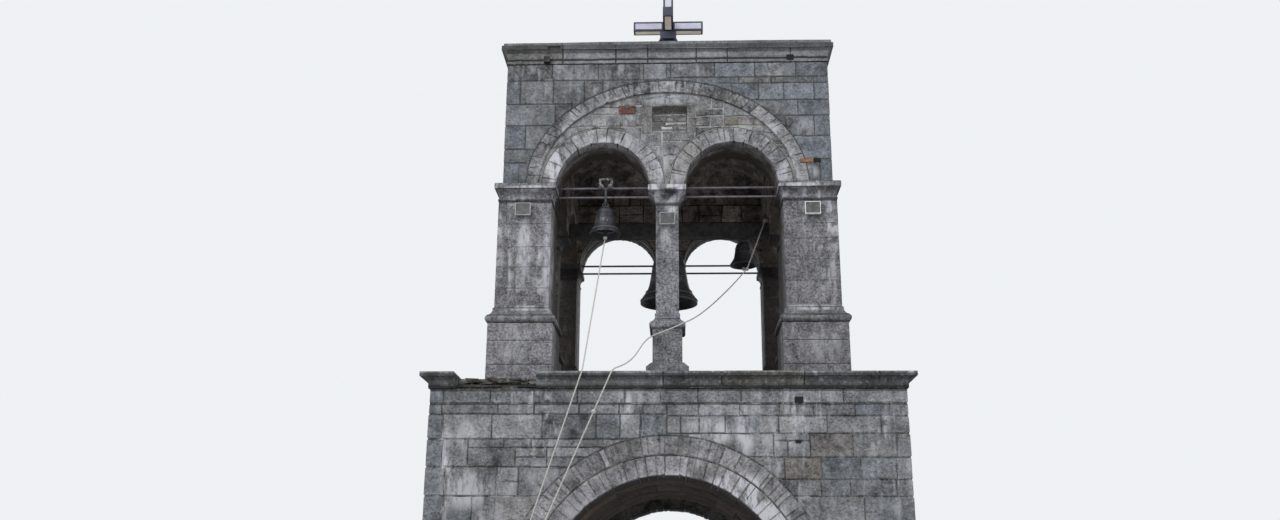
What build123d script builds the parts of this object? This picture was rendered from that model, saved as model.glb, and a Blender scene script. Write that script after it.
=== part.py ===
"""Stone bell tower standing over an arched gateway.

Millimetres, Z up, the ground at Z = 0, the front of the tower towards -Y and the origin
under the middle of the tower.
"""
import os
from math import radians, sqrt, tan

from build123d import *

# Gate storey
tower_side = 5210.0
gate_radius = 1315.0
gate_spring = 1570.0
gate_wall_depth = 600.0
inner_ring_height = 200.0
outer_ring_height = 205.0
ring_joint = 6.0
spandrel_margin = 34.0
gate_crown_cover = 354.0
front_bay_depth = 3000.0
rear_bay_step = 185.0

# Band course, ledge cornice and the floor of the belfry
band_height = 165.0
band_depth = 600.0
ledge_height = 170.0
ledge_reach = 110.0
ledge_foot_reach = 25.0
ledge_foot_height = 18.0
ledge_fillet = 45.0
ledge_fillet_lip = 18.0
ledge_block_depth = 340.0

# Where the ledge is broken away, measured from its left end, and the rubble that shows there
ledge_corner_length = 375.0
ledge_break_length = 910.0
rubble_setback = 60.0
rubble_drop = 40.0
rubble_knee = 30.0
rubble_knee_height = 55.0
rubble_shoulder = 130.0

# Corner piers
belfry_side = 4000.0
wall_thickness = 600.0
pier_reach = 38.0
pier_shaft_side = 640.0
pier_pedestal_side = 760.0
pedestal_height = 700.0
shaft_height = 1335.0
base_moulding_height = 190.0
base_moulding_reach = 17.0
base_round_foot = 12.0
base_round_head = 78.0
base_neck = 90.0
capital_height = 220.0
capital_reach = 52.0
capital_band = 70.0
capital_lip = 12.0
capital_neck_reach = 8.0
capital_neck_height = 16.0

# Slim columns between the piers
column_shaft_width = 275.0
column_shaft_depth = 380.0
column_pedestal_width = 350.0
column_pedestal_depth = 460.0
column_pedestal_height = 660.0
column_plinth_width = 500.0
column_plinth_depth = 600.0
column_plinth_height = 255.0
column_plinth_slope = 60.0
column_base_reach = 24.0
impost_width = 462.0
impost_depth = 620.0

# Arches of the belfry
arch_centre = 785.0
arch_radius = 572.0
arch_ring_height = 185.0
arch_ring_depth = 260.0
arch_ring_relief = 8.0
relieving_half_span = 1575.0
relieving_rise = 1235.0
relieving_ring_height = 150.0
relieving_cover = 25.0
wall_head_height = 210.0
tympanum_setback = 35.0

# Square recess in the tympanum and the stone frame round it
niche_centre = 33.0
niche_width = 434.0
niche_height = 335.0
niche_rise = 717.0
niche_depth = 150.0
niche_left_jamb = 128.0
niche_right_jamb = 96.0
niche_lintel = 96.0
niche_jamb_drop = 37.0
niche_frame_depth = 120.0
niche_frame_relief = 6.0

# Vault, top cornice and roof
vault_spring_drop = 500.0
vault_rise = 640.0
cornice_height = 230.0
cornice_reach = 80.0
cornice_foot_reach = 15.0
cornice_foot_height = 20.0
cornice_fillet = 52.0
cornice_fillet_lip = 15.0
cornice_chip_inset = 580.0
cornice_chip_width = 165.0
cornice_chip_depth = 45.0
roof_eaves_setback = 30.0
roof_edge = 40.0
roof_rise = 560.0
roof_cap_side = 520.0
roof_cap_height = 90.0

# Iron bracket under the top cornice
bracket_inset = 492.0
bracket_width = 46.0
bracket_thickness = 8.0
bracket_tail = 110.0
bracket_box_width = 78.0
bracket_box_height = 74.0
bracket_box_reach = 80.0

# Iron tie rods
rod_radius = 14.0
lower_rod_drop = 58.0
upper_rod_rise = 61.0
rod_bearing = 150.0
seat_gap = 0.3

# Bells and what carries them
great_bell_diameter = 785.0
great_bell_gap = 112.0
left_bell_diameter = 385.0
left_bell_x = -765.0
left_strap_length = 191.0
right_bell_diameter = 372.0
right_bell_x = 1032.0
right_bell_gap = 12.0

# Bell shapes, as shares of the mouth's diameter
bell_height_share = 0.88
bell_wall_share = 0.055
bell_bead_share = 0.012
bell_lip = (0.4925, 0.05)
bell_sound_bow = (0.40, 0.20)
bell_waist = (0.33, 0.42)
bell_shoulder = (0.29, 0.67)
bell_neck = (0.26, 0.80)
bell_head_share = 0.18
bell_ceiling_share = 0.15
bell_inner_drop = 0.02
crown_loop_share = 0.085
crown_wire_share = 0.03
crown_plate_share = 0.16
clapper_ball_share = 0.10
clapper_ball_height = 0.12
clapper_stem_share = 0.022
clapper_tail_share = 0.03
clapper_tail_reach = 0.10

# Beam and straps that carry the bells
bell_beam_width = 160.0
bell_beam_height = 190.0
bell_beam_bearing = 150.0
bell_beam_y = 130.0
strap_width = 26.0
strap_thickness = 8.0
clamp_length = 170.0
clamp_width = 56.0
clamp_height = 128.0
clamp_bar = 26.0

# Illuminated cross
cross_section = 142.0
cross_reach = 505.0
cross_foot_length = 660.0
panel_margin = 12.0
panel_depth = 8.0
collar_gap = 40.0
collar_side = 236.0
collar_height = 110.0
brace_foot = 330.0
brace_radius = 12.0

# Floodlights, each by its X and how far its middle is below the springing
lamp_width = 186.0
lamp_height = 155.0
lamp_depth = 42.0
lamp_frame = 9.0
lamp_glass_depth = 6.0
lamp_standoff = 30.0
lamp_plate = 5.0
lamp_plate_side = 60.0
lamp_arm_width = 40.0
lamp_arm_height = 16.0
lamp_places = {"left": (-1734.0, 341.0), "middle": (2.0, 420.0), "right": (1740.0, 348.0)}

# Bell ropes, the bar in the gate wall that they are tied to and the eye inside the belfry
rope_diameter = 16.0
knot_radius = 26.0
knot_hold = 16.0
tail_grip = 6.0
edge_bend = 120.0
bend_share = 0.45
edge_bend_share = 0.54
run_knot_distance = 510.0
rope_bar_inset = 887.0
rope_bar_height = 1450.0
rope_bar_width = 190.0
rope_bar_reach = 70.0
rope_bar_wire = 8.0
rope_spacing = 56.0
eye_rise = 225.0
eye_y = -60.0
eye_radius = 34.0
eye_wire = 6.0

# Sizes worked out from the ones above
tower_half = tower_side / 2
inner_ring_top = gate_radius + inner_ring_height
outer_ring_foot = inner_ring_top + ring_joint
outer_ring_top = outer_ring_foot + outer_ring_height
spandrel_half = outer_ring_top + spandrel_margin
gate_wall_top = gate_spring + outer_ring_top + gate_crown_cover
rear_bay_radius = gate_radius + rear_bay_step
ledge_foot = gate_wall_top + band_height
ledge_top = ledge_foot + ledge_height
ledge_break_left = -tower_half - ledge_reach + ledge_corner_length
ledge_break_right = ledge_break_left + ledge_break_length
belfry_half = belfry_side / 2
inner_half = belfry_half - wall_thickness
wall_middle = belfry_half - wall_thickness / 2
pier_centre = belfry_half + pier_reach - pier_shaft_side / 2
pedestal_top = ledge_top + pedestal_height
shaft_foot = pedestal_top + base_moulding_height
capital_foot = shaft_foot + shaft_height
belfry_spring = capital_foot + capital_height
column_pedestal_top = ledge_top + column_pedestal_height
wall_head_foot = belfry_spring + relieving_rise + relieving_ring_height + relieving_cover
belfry_wall_top = wall_head_foot + wall_head_height
niche_sill = belfry_spring + niche_rise
vault_spring = belfry_wall_top - vault_spring_drop
vault_crown = vault_spring + vault_rise
cornice_top = belfry_wall_top + cornice_height
cornice_chip_left = -belfry_half - cornice_reach + cornice_chip_inset
roof_top = cornice_top + roof_edge + roof_rise
cap_top = roof_top + roof_cap_height
lower_rod_height = belfry_spring - lower_rod_drop
upper_rod_height = belfry_spring + upper_rod_rise
cross_centre_height = cap_top + cross_foot_length
sides = {"front": 0, "right": 90, "back": 180, "left": 270}


def block(x0, x1, y0, y1, z0, z1):
    """Box between two opposite corners."""
    size = Box(x1 - x0, y1 - y0, z1 - z0)
    return Pos((x0 + x1) / 2, (y0 + y1) / 2, (z0 + z1) / 2) * size


def prism(face, y0, y1):
    """Face drawn in X and Z, made solid from y0 to y1."""
    return Pos(0, y0, 0) * extrude(face, amount=y1 - y0, dir=(0, 1, 0))


def outline(points):
    """Closed flat face in X and Z through the points."""
    line = Polyline(*[(x, 0, z) for x, z in points], close=True)
    return make_face(line)


def disc(x, z, radius):
    """Round face in X and Z."""
    centre = Plane(origin=(x, 0, z), x_dir=(1, 0, 0), z_dir=(0, -1, 0))
    return centre * Circle(radius)


def oval(z, half_width, rise):
    """Elliptical face in X and Z, centred on the middle line."""
    centre = Plane(origin=(0, 0, z), x_dir=(1, 0, 0), z_dir=(0, -1, 0))
    return centre * Ellipse(half_width, rise)


def rod(start, end, radius):
    """Round bar between two points."""
    axis = Vector(*end) - Vector(*start)
    place = Plane(origin=start, z_dir=axis)
    return place * Cylinder(radius, axis.length, align=(Align.CENTER, Align.CENTER, Align.MIN))


def moulding(half, steps):
    """Face in X and Z whose edge follows the steps on both sides.

    Each step is how far it reaches past half, its height, and how the edge gets there:
    a straight line, a hollow cove or a full round.
    """
    edges = []
    last = None
    for reach, height, kind in steps:
        point = Vector(half + reach, 0, height)
        if last is not None:
            if kind == "line":
                edges.append(Line(last, point))
            else:
                run = point - last
                outward = Vector(abs(run.Z), 0, -run.X if run.Z > 0 else run.X)
                outward = outward.normalized()
                bulge = run.length * (0.22 if kind == "round" else -0.18)
                edges.append(ThreePointArc(last, (last + point) / 2 + outward * bulge, point))
        last = point
    right = Wire(edges)
    left = right.mirror(Plane.YZ)
    foot = Line(left @ 0, right @ 0)
    head = Line(left @ 1, right @ 1)
    return make_face([*right.edges(), *left.edges(), foot, head])


def moulded(half_x, half_y, steps):
    """Block with the same moulding on all four sides, mitred at its corners."""
    longest = 2 * max(half_x, half_y)
    across = prism(moulding(half_x, steps), -longest, longest)
    along = Rot(0, 0, 90) * prism(moulding(half_y, steps), -longest, longest)
    return across & along


def to_side(shape, side):
    """Turn what is built for the front to another side of the tower."""
    return Rot(0, 0, sides[side]) * shape


def front_quarter(z0, z1):
    """The quarter of the tower's plan towards the front, between two heights."""
    far = tower_side
    plan = Polyline((0, 0, z0), (-far, -far, z0), (far, -far, z0), close=True)
    return extrude(make_face(plan), amount=z1 - z0, dir=(0, 0, 1))


pieces = {}


# Gate storey

def gate_side_wall(sign):
    """Solid wall beside the passage, wider below the springing of the arch."""
    inner = gate_radius
    wall = outline([
        (sign * tower_half, 0),
        (sign * inner, 0),
        (sign * inner, gate_spring),
        (sign * spandrel_half, gate_spring),
        (sign * spandrel_half, gate_wall_top),
        (sign * tower_half, gate_wall_top),
    ])
    body = prism(wall, -tower_half, tower_half)
    bay_front = -tower_half + front_bay_depth
    bay_back = tower_half - gate_wall_depth
    edges = sorted((sign * inner, sign * rear_bay_radius))
    return body - block(edges[0], edges[1], bay_front, bay_back, 0, gate_spring)


pieces["gate_left_wall"] = gate_side_wall(-1)
pieces["gate_right_wall"] = gate_side_wall(1)

gate_head = block(-spandrel_half, spandrel_half, -1, 1, gate_spring, gate_wall_top).faces()
gate_head = gate_head.sort_by(Axis.Y)[0].translate((0, 1, 0))


def half_ring(inside, outside):
    """Upper half of a ring about the centre of the gate arch."""
    ring = disc(0, gate_spring, outside) - disc(0, gate_spring, inside)
    return ring & gate_head


spandrel = gate_head - disc(0, gate_spring, outer_ring_top)
for side in ("front", "back"):
    y0 = -tower_half
    y1 = y0 + gate_wall_depth
    inner_ring = prism(half_ring(gate_radius, inner_ring_top), y0, y1)
    outer_ring = prism(half_ring(outer_ring_foot, outer_ring_top), y0, y1)
    pieces[f"gate_{side}_spandrel"] = to_side(prism(spandrel, y0, y1), side)
    pieces[f"gate_{side}_inner_ring"] = to_side(inner_ring, side)
    pieces[f"gate_{side}_outer_ring"] = to_side(outer_ring, side)

vault_front = -tower_half + gate_wall_depth
vault_step = -tower_half + front_bay_depth
vault_back = tower_half - gate_wall_depth
front_bay = prism(gate_head - disc(0, gate_spring, gate_radius), vault_front, vault_step)
rear_bay = prism(gate_head - disc(0, gate_spring, rear_bay_radius), vault_step, vault_back)
pieces["passage_vault"] = front_bay + rear_bay

# Band course, floor and ledge

floor_half = tower_half - band_depth
band = block(-tower_half, tower_half, -tower_half, tower_half, gate_wall_top, ledge_foot)
band -= block(-floor_half, floor_half, -floor_half, floor_half, gate_wall_top, ledge_foot)
pieces["band_course"] = band

deck_half = tower_half - ledge_block_depth
floor = block(-floor_half, floor_half, -floor_half, floor_half, gate_wall_top, ledge_foot)
floor += block(-deck_half, deck_half, -deck_half, deck_half, ledge_foot, ledge_top)
pieces["belfry_floor"] = floor

ledge_steps = [
    (ledge_foot_reach, ledge_foot, "line"),
    (ledge_foot_reach, ledge_foot + ledge_foot_height, "line"),
    (ledge_reach - ledge_fillet_lip, ledge_top - ledge_fillet, "cove"),
    (ledge_reach, ledge_top - ledge_fillet, "line"),
    (ledge_reach, ledge_top, "line"),
]
ledge_ring = moulded(tower_half, tower_half, ledge_steps)
ledge_ring -= block(-deck_half, deck_half, -deck_half, deck_half, ledge_foot, ledge_top)
for side in sides:
    pieces[f"ledge_{side}"] = ledge_ring & to_side(front_quarter(ledge_foot, ledge_top), side)
clear_reach = tower_half + 2 * ledge_reach
broken = block(ledge_break_left, ledge_break_right, -clear_reach, -deck_half, ledge_foot, ledge_top)
corner = block(-clear_reach, ledge_break_left, -clear_reach, -deck_half, ledge_foot, ledge_top)
pieces["ledge_front_left"] = ledge_ring & corner
for side in ("front", "left"):
    pieces[f"ledge_{side}"] = pieces[f"ledge_{side}"] - broken - corner

rubble_front = -tower_half + rubble_setback
rubble_profile = Polyline(
    (0, rubble_front, ledge_foot),
    (0, rubble_front + rubble_knee, ledge_foot + rubble_knee_height),
    (0, rubble_front + rubble_shoulder, ledge_top - rubble_drop - rubble_knee),
    (0, -deck_half, ledge_top - rubble_drop),
    (0, -deck_half, ledge_foot),
    close=True,
)
rubble = extrude(make_face(rubble_profile), amount=ledge_break_length, dir=(1, 0, 0))
pieces["ledge_rubble"] = Pos(ledge_break_left, 0, 0) * rubble

# Corner piers

def base_steps(foot, reach, shaft_reach):
    """Round, neck and cove at the foot of a shaft that stands back by shaft_reach."""
    return [
        (0, foot, "line"),
        (reach, foot + base_round_foot, "line"),
        (reach, foot + base_round_head, "round"),
        (reach / 2, foot + base_neck, "line"),
        (shaft_reach, foot + base_moulding_height, "cove"),
    ]


pedestal_half = pier_pedestal_side / 2
shaft_half = pier_shaft_side / 2
shaft_setback = shaft_half - pedestal_half
pedestal = block(-pedestal_half, pedestal_half, -pedestal_half, pedestal_half, ledge_top, pedestal_top)
pedestal_steps = base_steps(pedestal_top, base_moulding_reach, shaft_setback + base_moulding_reach)
pedestal += moulded(pedestal_half, pedestal_half, pedestal_steps)


def capital_steps(foot_reach, reach):
    """Fillet, cove and flat band of a capital."""
    return [
        (foot_reach, capital_foot, "line"),
        (foot_reach, capital_foot + capital_neck_height, "line"),
        (reach - capital_lip, belfry_spring - capital_band, "cove"),
        (reach, belfry_spring - capital_band, "line"),
        (reach, belfry_spring, "line"),
    ]


shaft = block(-shaft_half, shaft_half, -shaft_half, shaft_half, shaft_foot, capital_foot)
shaft += moulded(shaft_half, shaft_half, capital_steps(capital_neck_reach, capital_reach))

# Iron tie rods, two to each side

rod_end = pier_centre - shaft_half + rod_bearing
rod_heights = (lower_rod_height, upper_rod_height)


def side_rods(radius):
    """The two rods of the front."""
    low, high = [
        rod((-rod_end, -wall_middle, height), (rod_end, -wall_middle, height), radius)
        for height in rod_heights
    ]
    return low, high


rod_holes = [to_side(hole, side) for side in sides for hole in side_rods(rod_radius + seat_gap)]
rods = [to_side(bar, side) for side in sides for bar in side_rods(rod_radius)]

for name, x_sign, y_sign in (
    ("front_left", -1, -1),
    ("front_right", 1, -1),
    ("back_left", -1, 1),
    ("back_right", 1, 1),
):
    place = Pos(x_sign * pier_centre, y_sign * pier_centre, 0)
    pieces[f"pedestal_{name}"] = place * pedestal
    pier = place * shaft
    for hole in rod_holes:
        pier -= hole
    pieces[f"pier_{name}"] = pier

# Slim columns, one in the middle of each side

column_foot = column_pedestal_top + base_moulding_height
plinth_top = ledge_top + column_plinth_height
plinth_steps = [
    (0, ledge_top, "line"),
    (0, plinth_top - column_plinth_slope, "line"),
    (-column_plinth_slope, plinth_top, "line"),
]
column_x = column_shaft_width / 2
column_y = column_shaft_depth / 2
pedestal_x = column_pedestal_width / 2
pedestal_y = column_pedestal_depth / 2
column_steps = base_steps(column_pedestal_top, column_base_reach, column_x - pedestal_x + capital_lip)
column = moulded(column_plinth_width / 2, column_plinth_depth / 2, plinth_steps)
column += block(-pedestal_x, pedestal_x, -pedestal_y, pedestal_y, plinth_top, column_pedestal_top)
column += moulded(pedestal_x, pedestal_y, column_steps)
column += block(-column_x, column_x, -column_y, column_y, column_foot, capital_foot)
impost_reach_x = (impost_width - column_shaft_width) / 2
impost_reach_y = (impost_depth - column_shaft_depth) / 2
impost_steps_x = capital_steps(capital_neck_reach, impost_reach_x)
impost_steps_y = capital_steps(capital_neck_reach, impost_reach_y)
impost_x = prism(moulding(column_x, impost_steps_x), -impost_depth, impost_depth)
impost_y = prism(moulding(column_y, impost_steps_y), -impost_depth, impost_depth)
column += impost_x & (Rot(0, 0, 90) * impost_y)
for side in sides:
    post = to_side(Pos(0, -wall_middle, 0) * column, side)
    for hole in rod_holes:
        post -= hole
    pieces[f"column_{side}"] = post

# Upper walls with their arches

wall_face = block(-belfry_half, belfry_half, -1, 1, belfry_spring, wall_head_foot).faces()
wall_face = wall_face.sort_by(Axis.Y)[0].translate((0, 1, 0))
relief_inside = oval(belfry_spring, relieving_half_span, relieving_rise)
relief_outside = oval(
    belfry_spring,
    relieving_half_span + relieving_ring_height,
    relieving_rise + relieving_ring_height,
)
arch_holes = [disc(x, belfry_spring, arch_radius) for x in (-arch_centre, arch_centre)]
ring_outside = [
    disc(x, belfry_spring, arch_radius + arch_ring_height) for x in (-arch_centre, arch_centre)
]
face_y = -belfry_half
tympanum_y = face_y + tympanum_setback
ring_back = face_y + arch_ring_depth
relieving_ring = prism((relief_outside - relief_inside) & wall_face, face_y, ring_back)
small_rings = [
    prism((outside - hole) & wall_face, tympanum_y - arch_ring_relief, ring_back)
    for outside, hole in zip(ring_outside, arch_holes)
]
beam_end = inner_half + bell_beam_bearing
beam_half = bell_beam_width / 2
beam_top = belfry_spring + bell_beam_height


def beam_block(gap):
    """The bell beam, or with a gap the pockets that its ends lie in."""
    end = beam_end + gap
    front = bell_beam_y - beam_half - gap
    back = bell_beam_y + beam_half + gap
    return block(-end, end, front, back, belfry_spring, beam_top + gap)


niche_left = niche_centre - niche_width / 2
niche_right = niche_centre + niche_width / 2
niche_head = niche_sill + niche_height
frame_back = tympanum_y + niche_frame_depth


def niche_frame(front):
    """Two jambs and a lintel round the recess, from the given front to their bed."""
    body = block(
        niche_left - niche_left_jamb,
        niche_right + niche_right_jamb,
        front,
        frame_back,
        niche_sill - niche_jamb_drop,
        niche_head + niche_lintel,
    )
    foot = niche_sill - niche_jamb_drop
    return body - block(niche_left, niche_right, front, frame_back, foot, niche_head)


arched_face = wall_face
for hole in arch_holes:
    arched_face = arched_face - hole
plain_wall = prism(arched_face, face_y, -inner_half) & front_quarter(belfry_spring, wall_head_foot)
plain_wall -= prism(relief_outside & wall_face, face_y, tympanum_y)
for ring in (relieving_ring, *small_rings):
    plain_wall -= ring

for side in sides:
    wall = to_side(plain_wall, side) - beam_block(seat_gap)
    if side == "front":
        wall -= block(niche_left, niche_right, face_y, tympanum_y + niche_depth, niche_sill, niche_head)
        wall -= niche_frame(face_y)
    for hole in rod_holes:
        wall -= hole
    pieces[f"upper_wall_{side}"] = wall
    rings = [to_side(ring, side) for ring in (relieving_ring, *small_rings)]
    pieces[f"arch_rings_{side}"] = Compound(children=rings)
pieces["niche_frame"] = niche_frame(tympanum_y - niche_frame_relief)

wall_head = block(-belfry_half, belfry_half, -belfry_half, belfry_half, wall_head_foot, belfry_wall_top)
wall_head -= block(-inner_half, inner_half, -inner_half, inner_half, wall_head_foot, belfry_wall_top)
pieces["wall_head"] = wall_head

# Vault over the bells, top cornice and roof

vault_radius = (inner_half**2 + vault_rise**2) / (2 * vault_rise)
vault_barrel = prism(disc(0, vault_crown - vault_radius, vault_radius), -inner_half, inner_half)
vault_space = vault_barrel & (Rot(0, 0, 90) * vault_barrel)
vault = block(-inner_half, inner_half, -inner_half, inner_half, vault_spring, cornice_top)
pieces["belfry_vault"] = vault - vault_space

cornice_steps = [
    (cornice_foot_reach, belfry_wall_top, "line"),
    (cornice_foot_reach, belfry_wall_top + cornice_foot_height, "line"),
    (cornice_reach - cornice_fillet_lip, cornice_top - cornice_fillet, "cove"),
    (cornice_reach, cornice_top - cornice_fillet, "line"),
    (cornice_reach, cornice_top, "line"),
]
cornice = moulded(belfry_half, belfry_half, cornice_steps)
cornice -= block(-inner_half, inner_half, -inner_half, inner_half, belfry_wall_top, cornice_top)
cornice -= block(
    cornice_chip_left,
    cornice_chip_left + cornice_chip_width,
    -belfry_half - 2 * cornice_reach,
    -belfry_half - cornice_reach + cornice_chip_depth,
    cornice_top - cornice_fillet,
    cornice_top,
)
pieces["top_cornice"] = cornice

eaves_half = belfry_half + cornice_reach - roof_eaves_setback
cap_half = roof_cap_side / 2
roof_steps = [
    (0, cornice_top, "line"),
    (0, cornice_top + roof_edge, "line"),
    (cap_half - eaves_half, roof_top, "line"),
]
roof = moulded(eaves_half, eaves_half, roof_steps)
pieces["roof"] = roof
pieces["roof_cap"] = block(-cap_half, cap_half, -cap_half, cap_half, roof_top, cap_top)

# Iron bracket that hangs from the foot of the cornice

bracket_x = -belfry_half + bracket_inset
bracket_half = bracket_width / 2
box_half = bracket_box_width / 2
bracket_front = -belfry_half - cornice_foot_reach - bracket_thickness
bracket = block(
    bracket_x - bracket_half,
    bracket_x + bracket_half,
    bracket_front,
    -belfry_half,
    belfry_wall_top - bracket_tail,
    belfry_wall_top + cornice_foot_height,
)
bracket -= block(
    bracket_x - bracket_half,
    bracket_x + bracket_half,
    bracket_front,
    -belfry_half - bracket_thickness,
    belfry_wall_top - bracket_tail,
    belfry_wall_top - bracket_thickness,
)
bracket += block(
    bracket_x - box_half,
    bracket_x + box_half,
    -belfry_half - bracket_box_reach,
    -belfry_half - cornice_foot_reach,
    belfry_wall_top + bracket_thickness,
    belfry_wall_top + bracket_thickness + bracket_box_height,
)
pieces["cornice_bracket"] = bracket - cornice

# Bells

def bell(diameter):
    """Bell about its own axis with its mouth at Z = 0, and the height of its head."""
    t = diameter * bell_wall_share
    height = bell_height_share * diameter
    stations = (bell_lip, bell_sound_bow, bell_waist, bell_shoulder, bell_neck)
    lip, sound_bow, waist, shoulder, neck = [(x * diameter, z * diameter) for x, z in stations]
    drop = bell_inner_drop * diameter
    outer = [(diameter / 2, 0), lip, sound_bow, waist, shoulder, neck]
    inner = [
        (bell_ceiling_share * diameter, height - t),
        (neck[0] - t, neck[1] - t - drop),
        (shoulder[0] - t, shoulder[1] - 2 * drop),
        (waist[0] - t, waist[1] - drop),
        (sound_bow[0] - t, sound_bow[1] - drop),
        (diameter / 2 - t / 2, 0),
    ]
    outer_edge = Spline(*[(x, 0, z) for x, z in outer])
    head_slope = Line(outer_edge @ 1, (bell_head_share * diameter, 0, height))
    top = Line(head_slope @ 1, (0, 0, height))
    axis = Line((0, 0, height), (0, 0, height - t))
    ceiling = Line((0, 0, height - t), (inner[0][0], 0, inner[0][1]))
    inner_edge = Spline(*[(x, 0, z) for x, z in inner])
    rim = Line(inner_edge @ 1, outer_edge @ 0)
    half = make_face([outer_edge, head_slope, top, axis, ceiling, inner_edge, rim])
    body = revolve(half, Axis.Z)
    for bead_radius, bead_height in (lip, sound_bow, shoulder):
        body += Pos(0, 0, bead_height) * Torus(bead_radius, bell_bead_share * diameter)
    return body, height


def crown(diameter, height):
    """Head plate and two crossed loops on top of a bell."""
    loop = crown_loop_share * diameter
    thick = crown_wire_share * diameter
    plate_radius = crown_plate_share * diameter
    plate = Cylinder(plate_radius, thick, align=(Align.CENTER, Align.CENTER, Align.MIN))
    body = Pos(0, 0, height) * plate
    for turn in (0, 90):
        ring = Rot(0, 0, turn) * (Rot(90, 0, 0) * Torus(loop, thick))
        body += Pos(0, 0, height + loop + thick / 2) * ring
    return body, height + 2 * loop + thick / 2


def strap(foot, bar_height, bar_radius):
    """Flat iron strap that goes up both sides of a bar and over it."""
    inside = bar_radius + seat_gap
    outside = inside + strap_thickness
    half_width = strap_width / 2
    body = block(-outside, outside, -half_width, half_width, foot, bar_height)
    body += Pos(0, 0, bar_height) * (Rot(90, 0, 0) * Cylinder(outside, strap_width))
    slot_foot = foot + 2 * strap_thickness
    body -= block(-inside, inside, -strap_width, strap_width, slot_foot, bar_height)
    body -= Pos(0, 0, bar_height) * (Rot(90, 0, 0) * Cylinder(inside, 2 * strap_width))
    return body


def clamp():
    """Iron frame that sits astride the front rod over the left bell."""
    half = clamp_length / 2
    foot = upper_rod_height
    top = foot + clamp_height
    across = clamp_width
    window = half - clamp_bar
    body = block(-half, half, -across / 2, across / 2, foot, top)
    body -= block(-window, window, -across, across, foot + 2 * clamp_bar, top - clamp_bar)
    strap_room = strap_width / 2 + 2 * strap_thickness
    body -= block(-strap_room, strap_room, -across, across, foot, foot + 2 * clamp_bar)
    seat = rod((-clamp_length, 0, foot), (clamp_length, 0, foot), rod_radius + seat_gap)
    return body - seat


def beam_bell(diameter, gap):
    """Bell hung under the beam by a yoke and two straps, the gap being that over its crown."""
    shell, height = bell(diameter)
    head, head_top = crown(diameter, height)
    mouth = belfry_spring - gap - head_top
    body = Pos(0, 0, mouth) * (shell + head)
    yoke_foot = belfry_spring - gap - 2 * strap_thickness
    yoke_top = belfry_spring - gap + strap_thickness / 2
    inside = beam_half + seat_gap
    outside = inside + strap_thickness
    strap_top = beam_top + seat_gap + strap_thickness
    strap_place = 1.2 * strap_width
    yoke_half = strap_place + strap_width / 2
    body += block(-yoke_half, yoke_half, -outside, outside, yoke_foot, yoke_top)
    for x in (-strap_place, strap_place):
        x0 = x - strap_width / 2
        x1 = x + strap_width / 2
        loop = block(x0, x1, -outside, outside, yoke_foot, strap_top)
        body += loop - block(x0, x1, -inside, inside, yoke_top, beam_top + seat_gap)
    return body, mouth


shell, height = bell(left_bell_diameter)
head, head_top = crown(left_bell_diameter, height)
left_bell_mouth = upper_rod_height - left_strap_length - head_top
left_bell = Pos(0, 0, left_bell_mouth) * (shell + head)
left_strap = strap(left_bell_mouth + head_top - strap_thickness, upper_rod_height, rod_radius)
left_place = Pos(left_bell_x, -wall_middle, 0)
pieces["left_bell"] = left_place * (Rot(0, 0, 90) * (left_bell + left_strap))
pieces["tie_rods"] = Compound(children=[*rods, left_place * clamp()])

pieces["bell_beam"] = beam_block(0)
great_bell, great_bell_mouth = beam_bell(great_bell_diameter, great_bell_gap)
pieces["great_bell"] = Pos(0, bell_beam_y, 0) * great_bell
right_bell, right_bell_mouth = beam_bell(right_bell_diameter, right_bell_gap)
pieces["right_bell"] = Pos(right_bell_x, bell_beam_y, 0) * right_bell


def clapper(diameter, mouth):
    """Iron clapper: stem, ball and tail, hung from the inside of the head."""
    stem_top = mouth + (bell_height_share - bell_wall_share) * diameter
    ball_height = mouth + clapper_ball_height * diameter
    body = rod((0, 0, ball_height), (0, 0, stem_top), clapper_stem_share * diameter)
    body += Pos(0, 0, ball_height) * Sphere(clapper_ball_share * diameter)
    tail_foot = mouth - clapper_tail_reach * diameter
    body += rod((0, 0, tail_foot), (0, 0, ball_height), clapper_tail_share * diameter)
    return body


clappers = [
    left_place * clapper(left_bell_diameter, left_bell_mouth),
    Pos(right_bell_x, bell_beam_y, 0) * clapper(right_bell_diameter, right_bell_mouth),
    Pos(0, bell_beam_y, 0) * clapper(great_bell_diameter, great_bell_mouth),
]
pieces["clappers"] = Compound(children=clappers)

# Illuminated cross

half = cross_section / 2
cross_low = cross_centre_height - half
cross_high = cross_centre_height + half
arm_boxes = [
    (-cross_reach, cross_reach, -half, half, cross_low, cross_high),
    (-half, half, -cross_reach, cross_reach, cross_low, cross_high),
    (-half, half, -half, half, cap_top, cross_centre_height + cross_reach),
]
cross = block(*arm_boxes[0])
for corners in arm_boxes[1:]:
    cross += block(*corners)


def panel_boxes():
    """Recessed light panels: end faces and the long faces of every arm."""
    boxes = []
    inside = half + panel_margin
    outside = cross_reach - panel_margin
    edge = half - panel_margin
    for turn in (0, 90, 180, 270):
        end = block(cross_reach - panel_depth, cross_reach, -edge, edge, -edge, edge)
        boxes.append(Rot(0, 0, turn) * end)
        for flip in (0, 90, 180, 270):
            face = block(inside, outside, half - panel_depth, half, -edge, edge)
            boxes.append(Rot(0, 0, turn) * (Rot(flip, 0, 0) * face))
        upright = block(-edge, edge, half - panel_depth, half, inside, outside)
        boxes.append(Rot(0, 0, turn) * upright)
    boxes.append(block(-edge, edge, -edge, edge, cross_reach - panel_depth, cross_reach))
    return [Pos(0, 0, cross_centre_height) * shape for shape in boxes]


panels = panel_boxes()
for panel in panels:
    cross -= panel
pieces["cross_frame"] = cross
pieces["cross_panels"] = Compound(children=panels)

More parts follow.
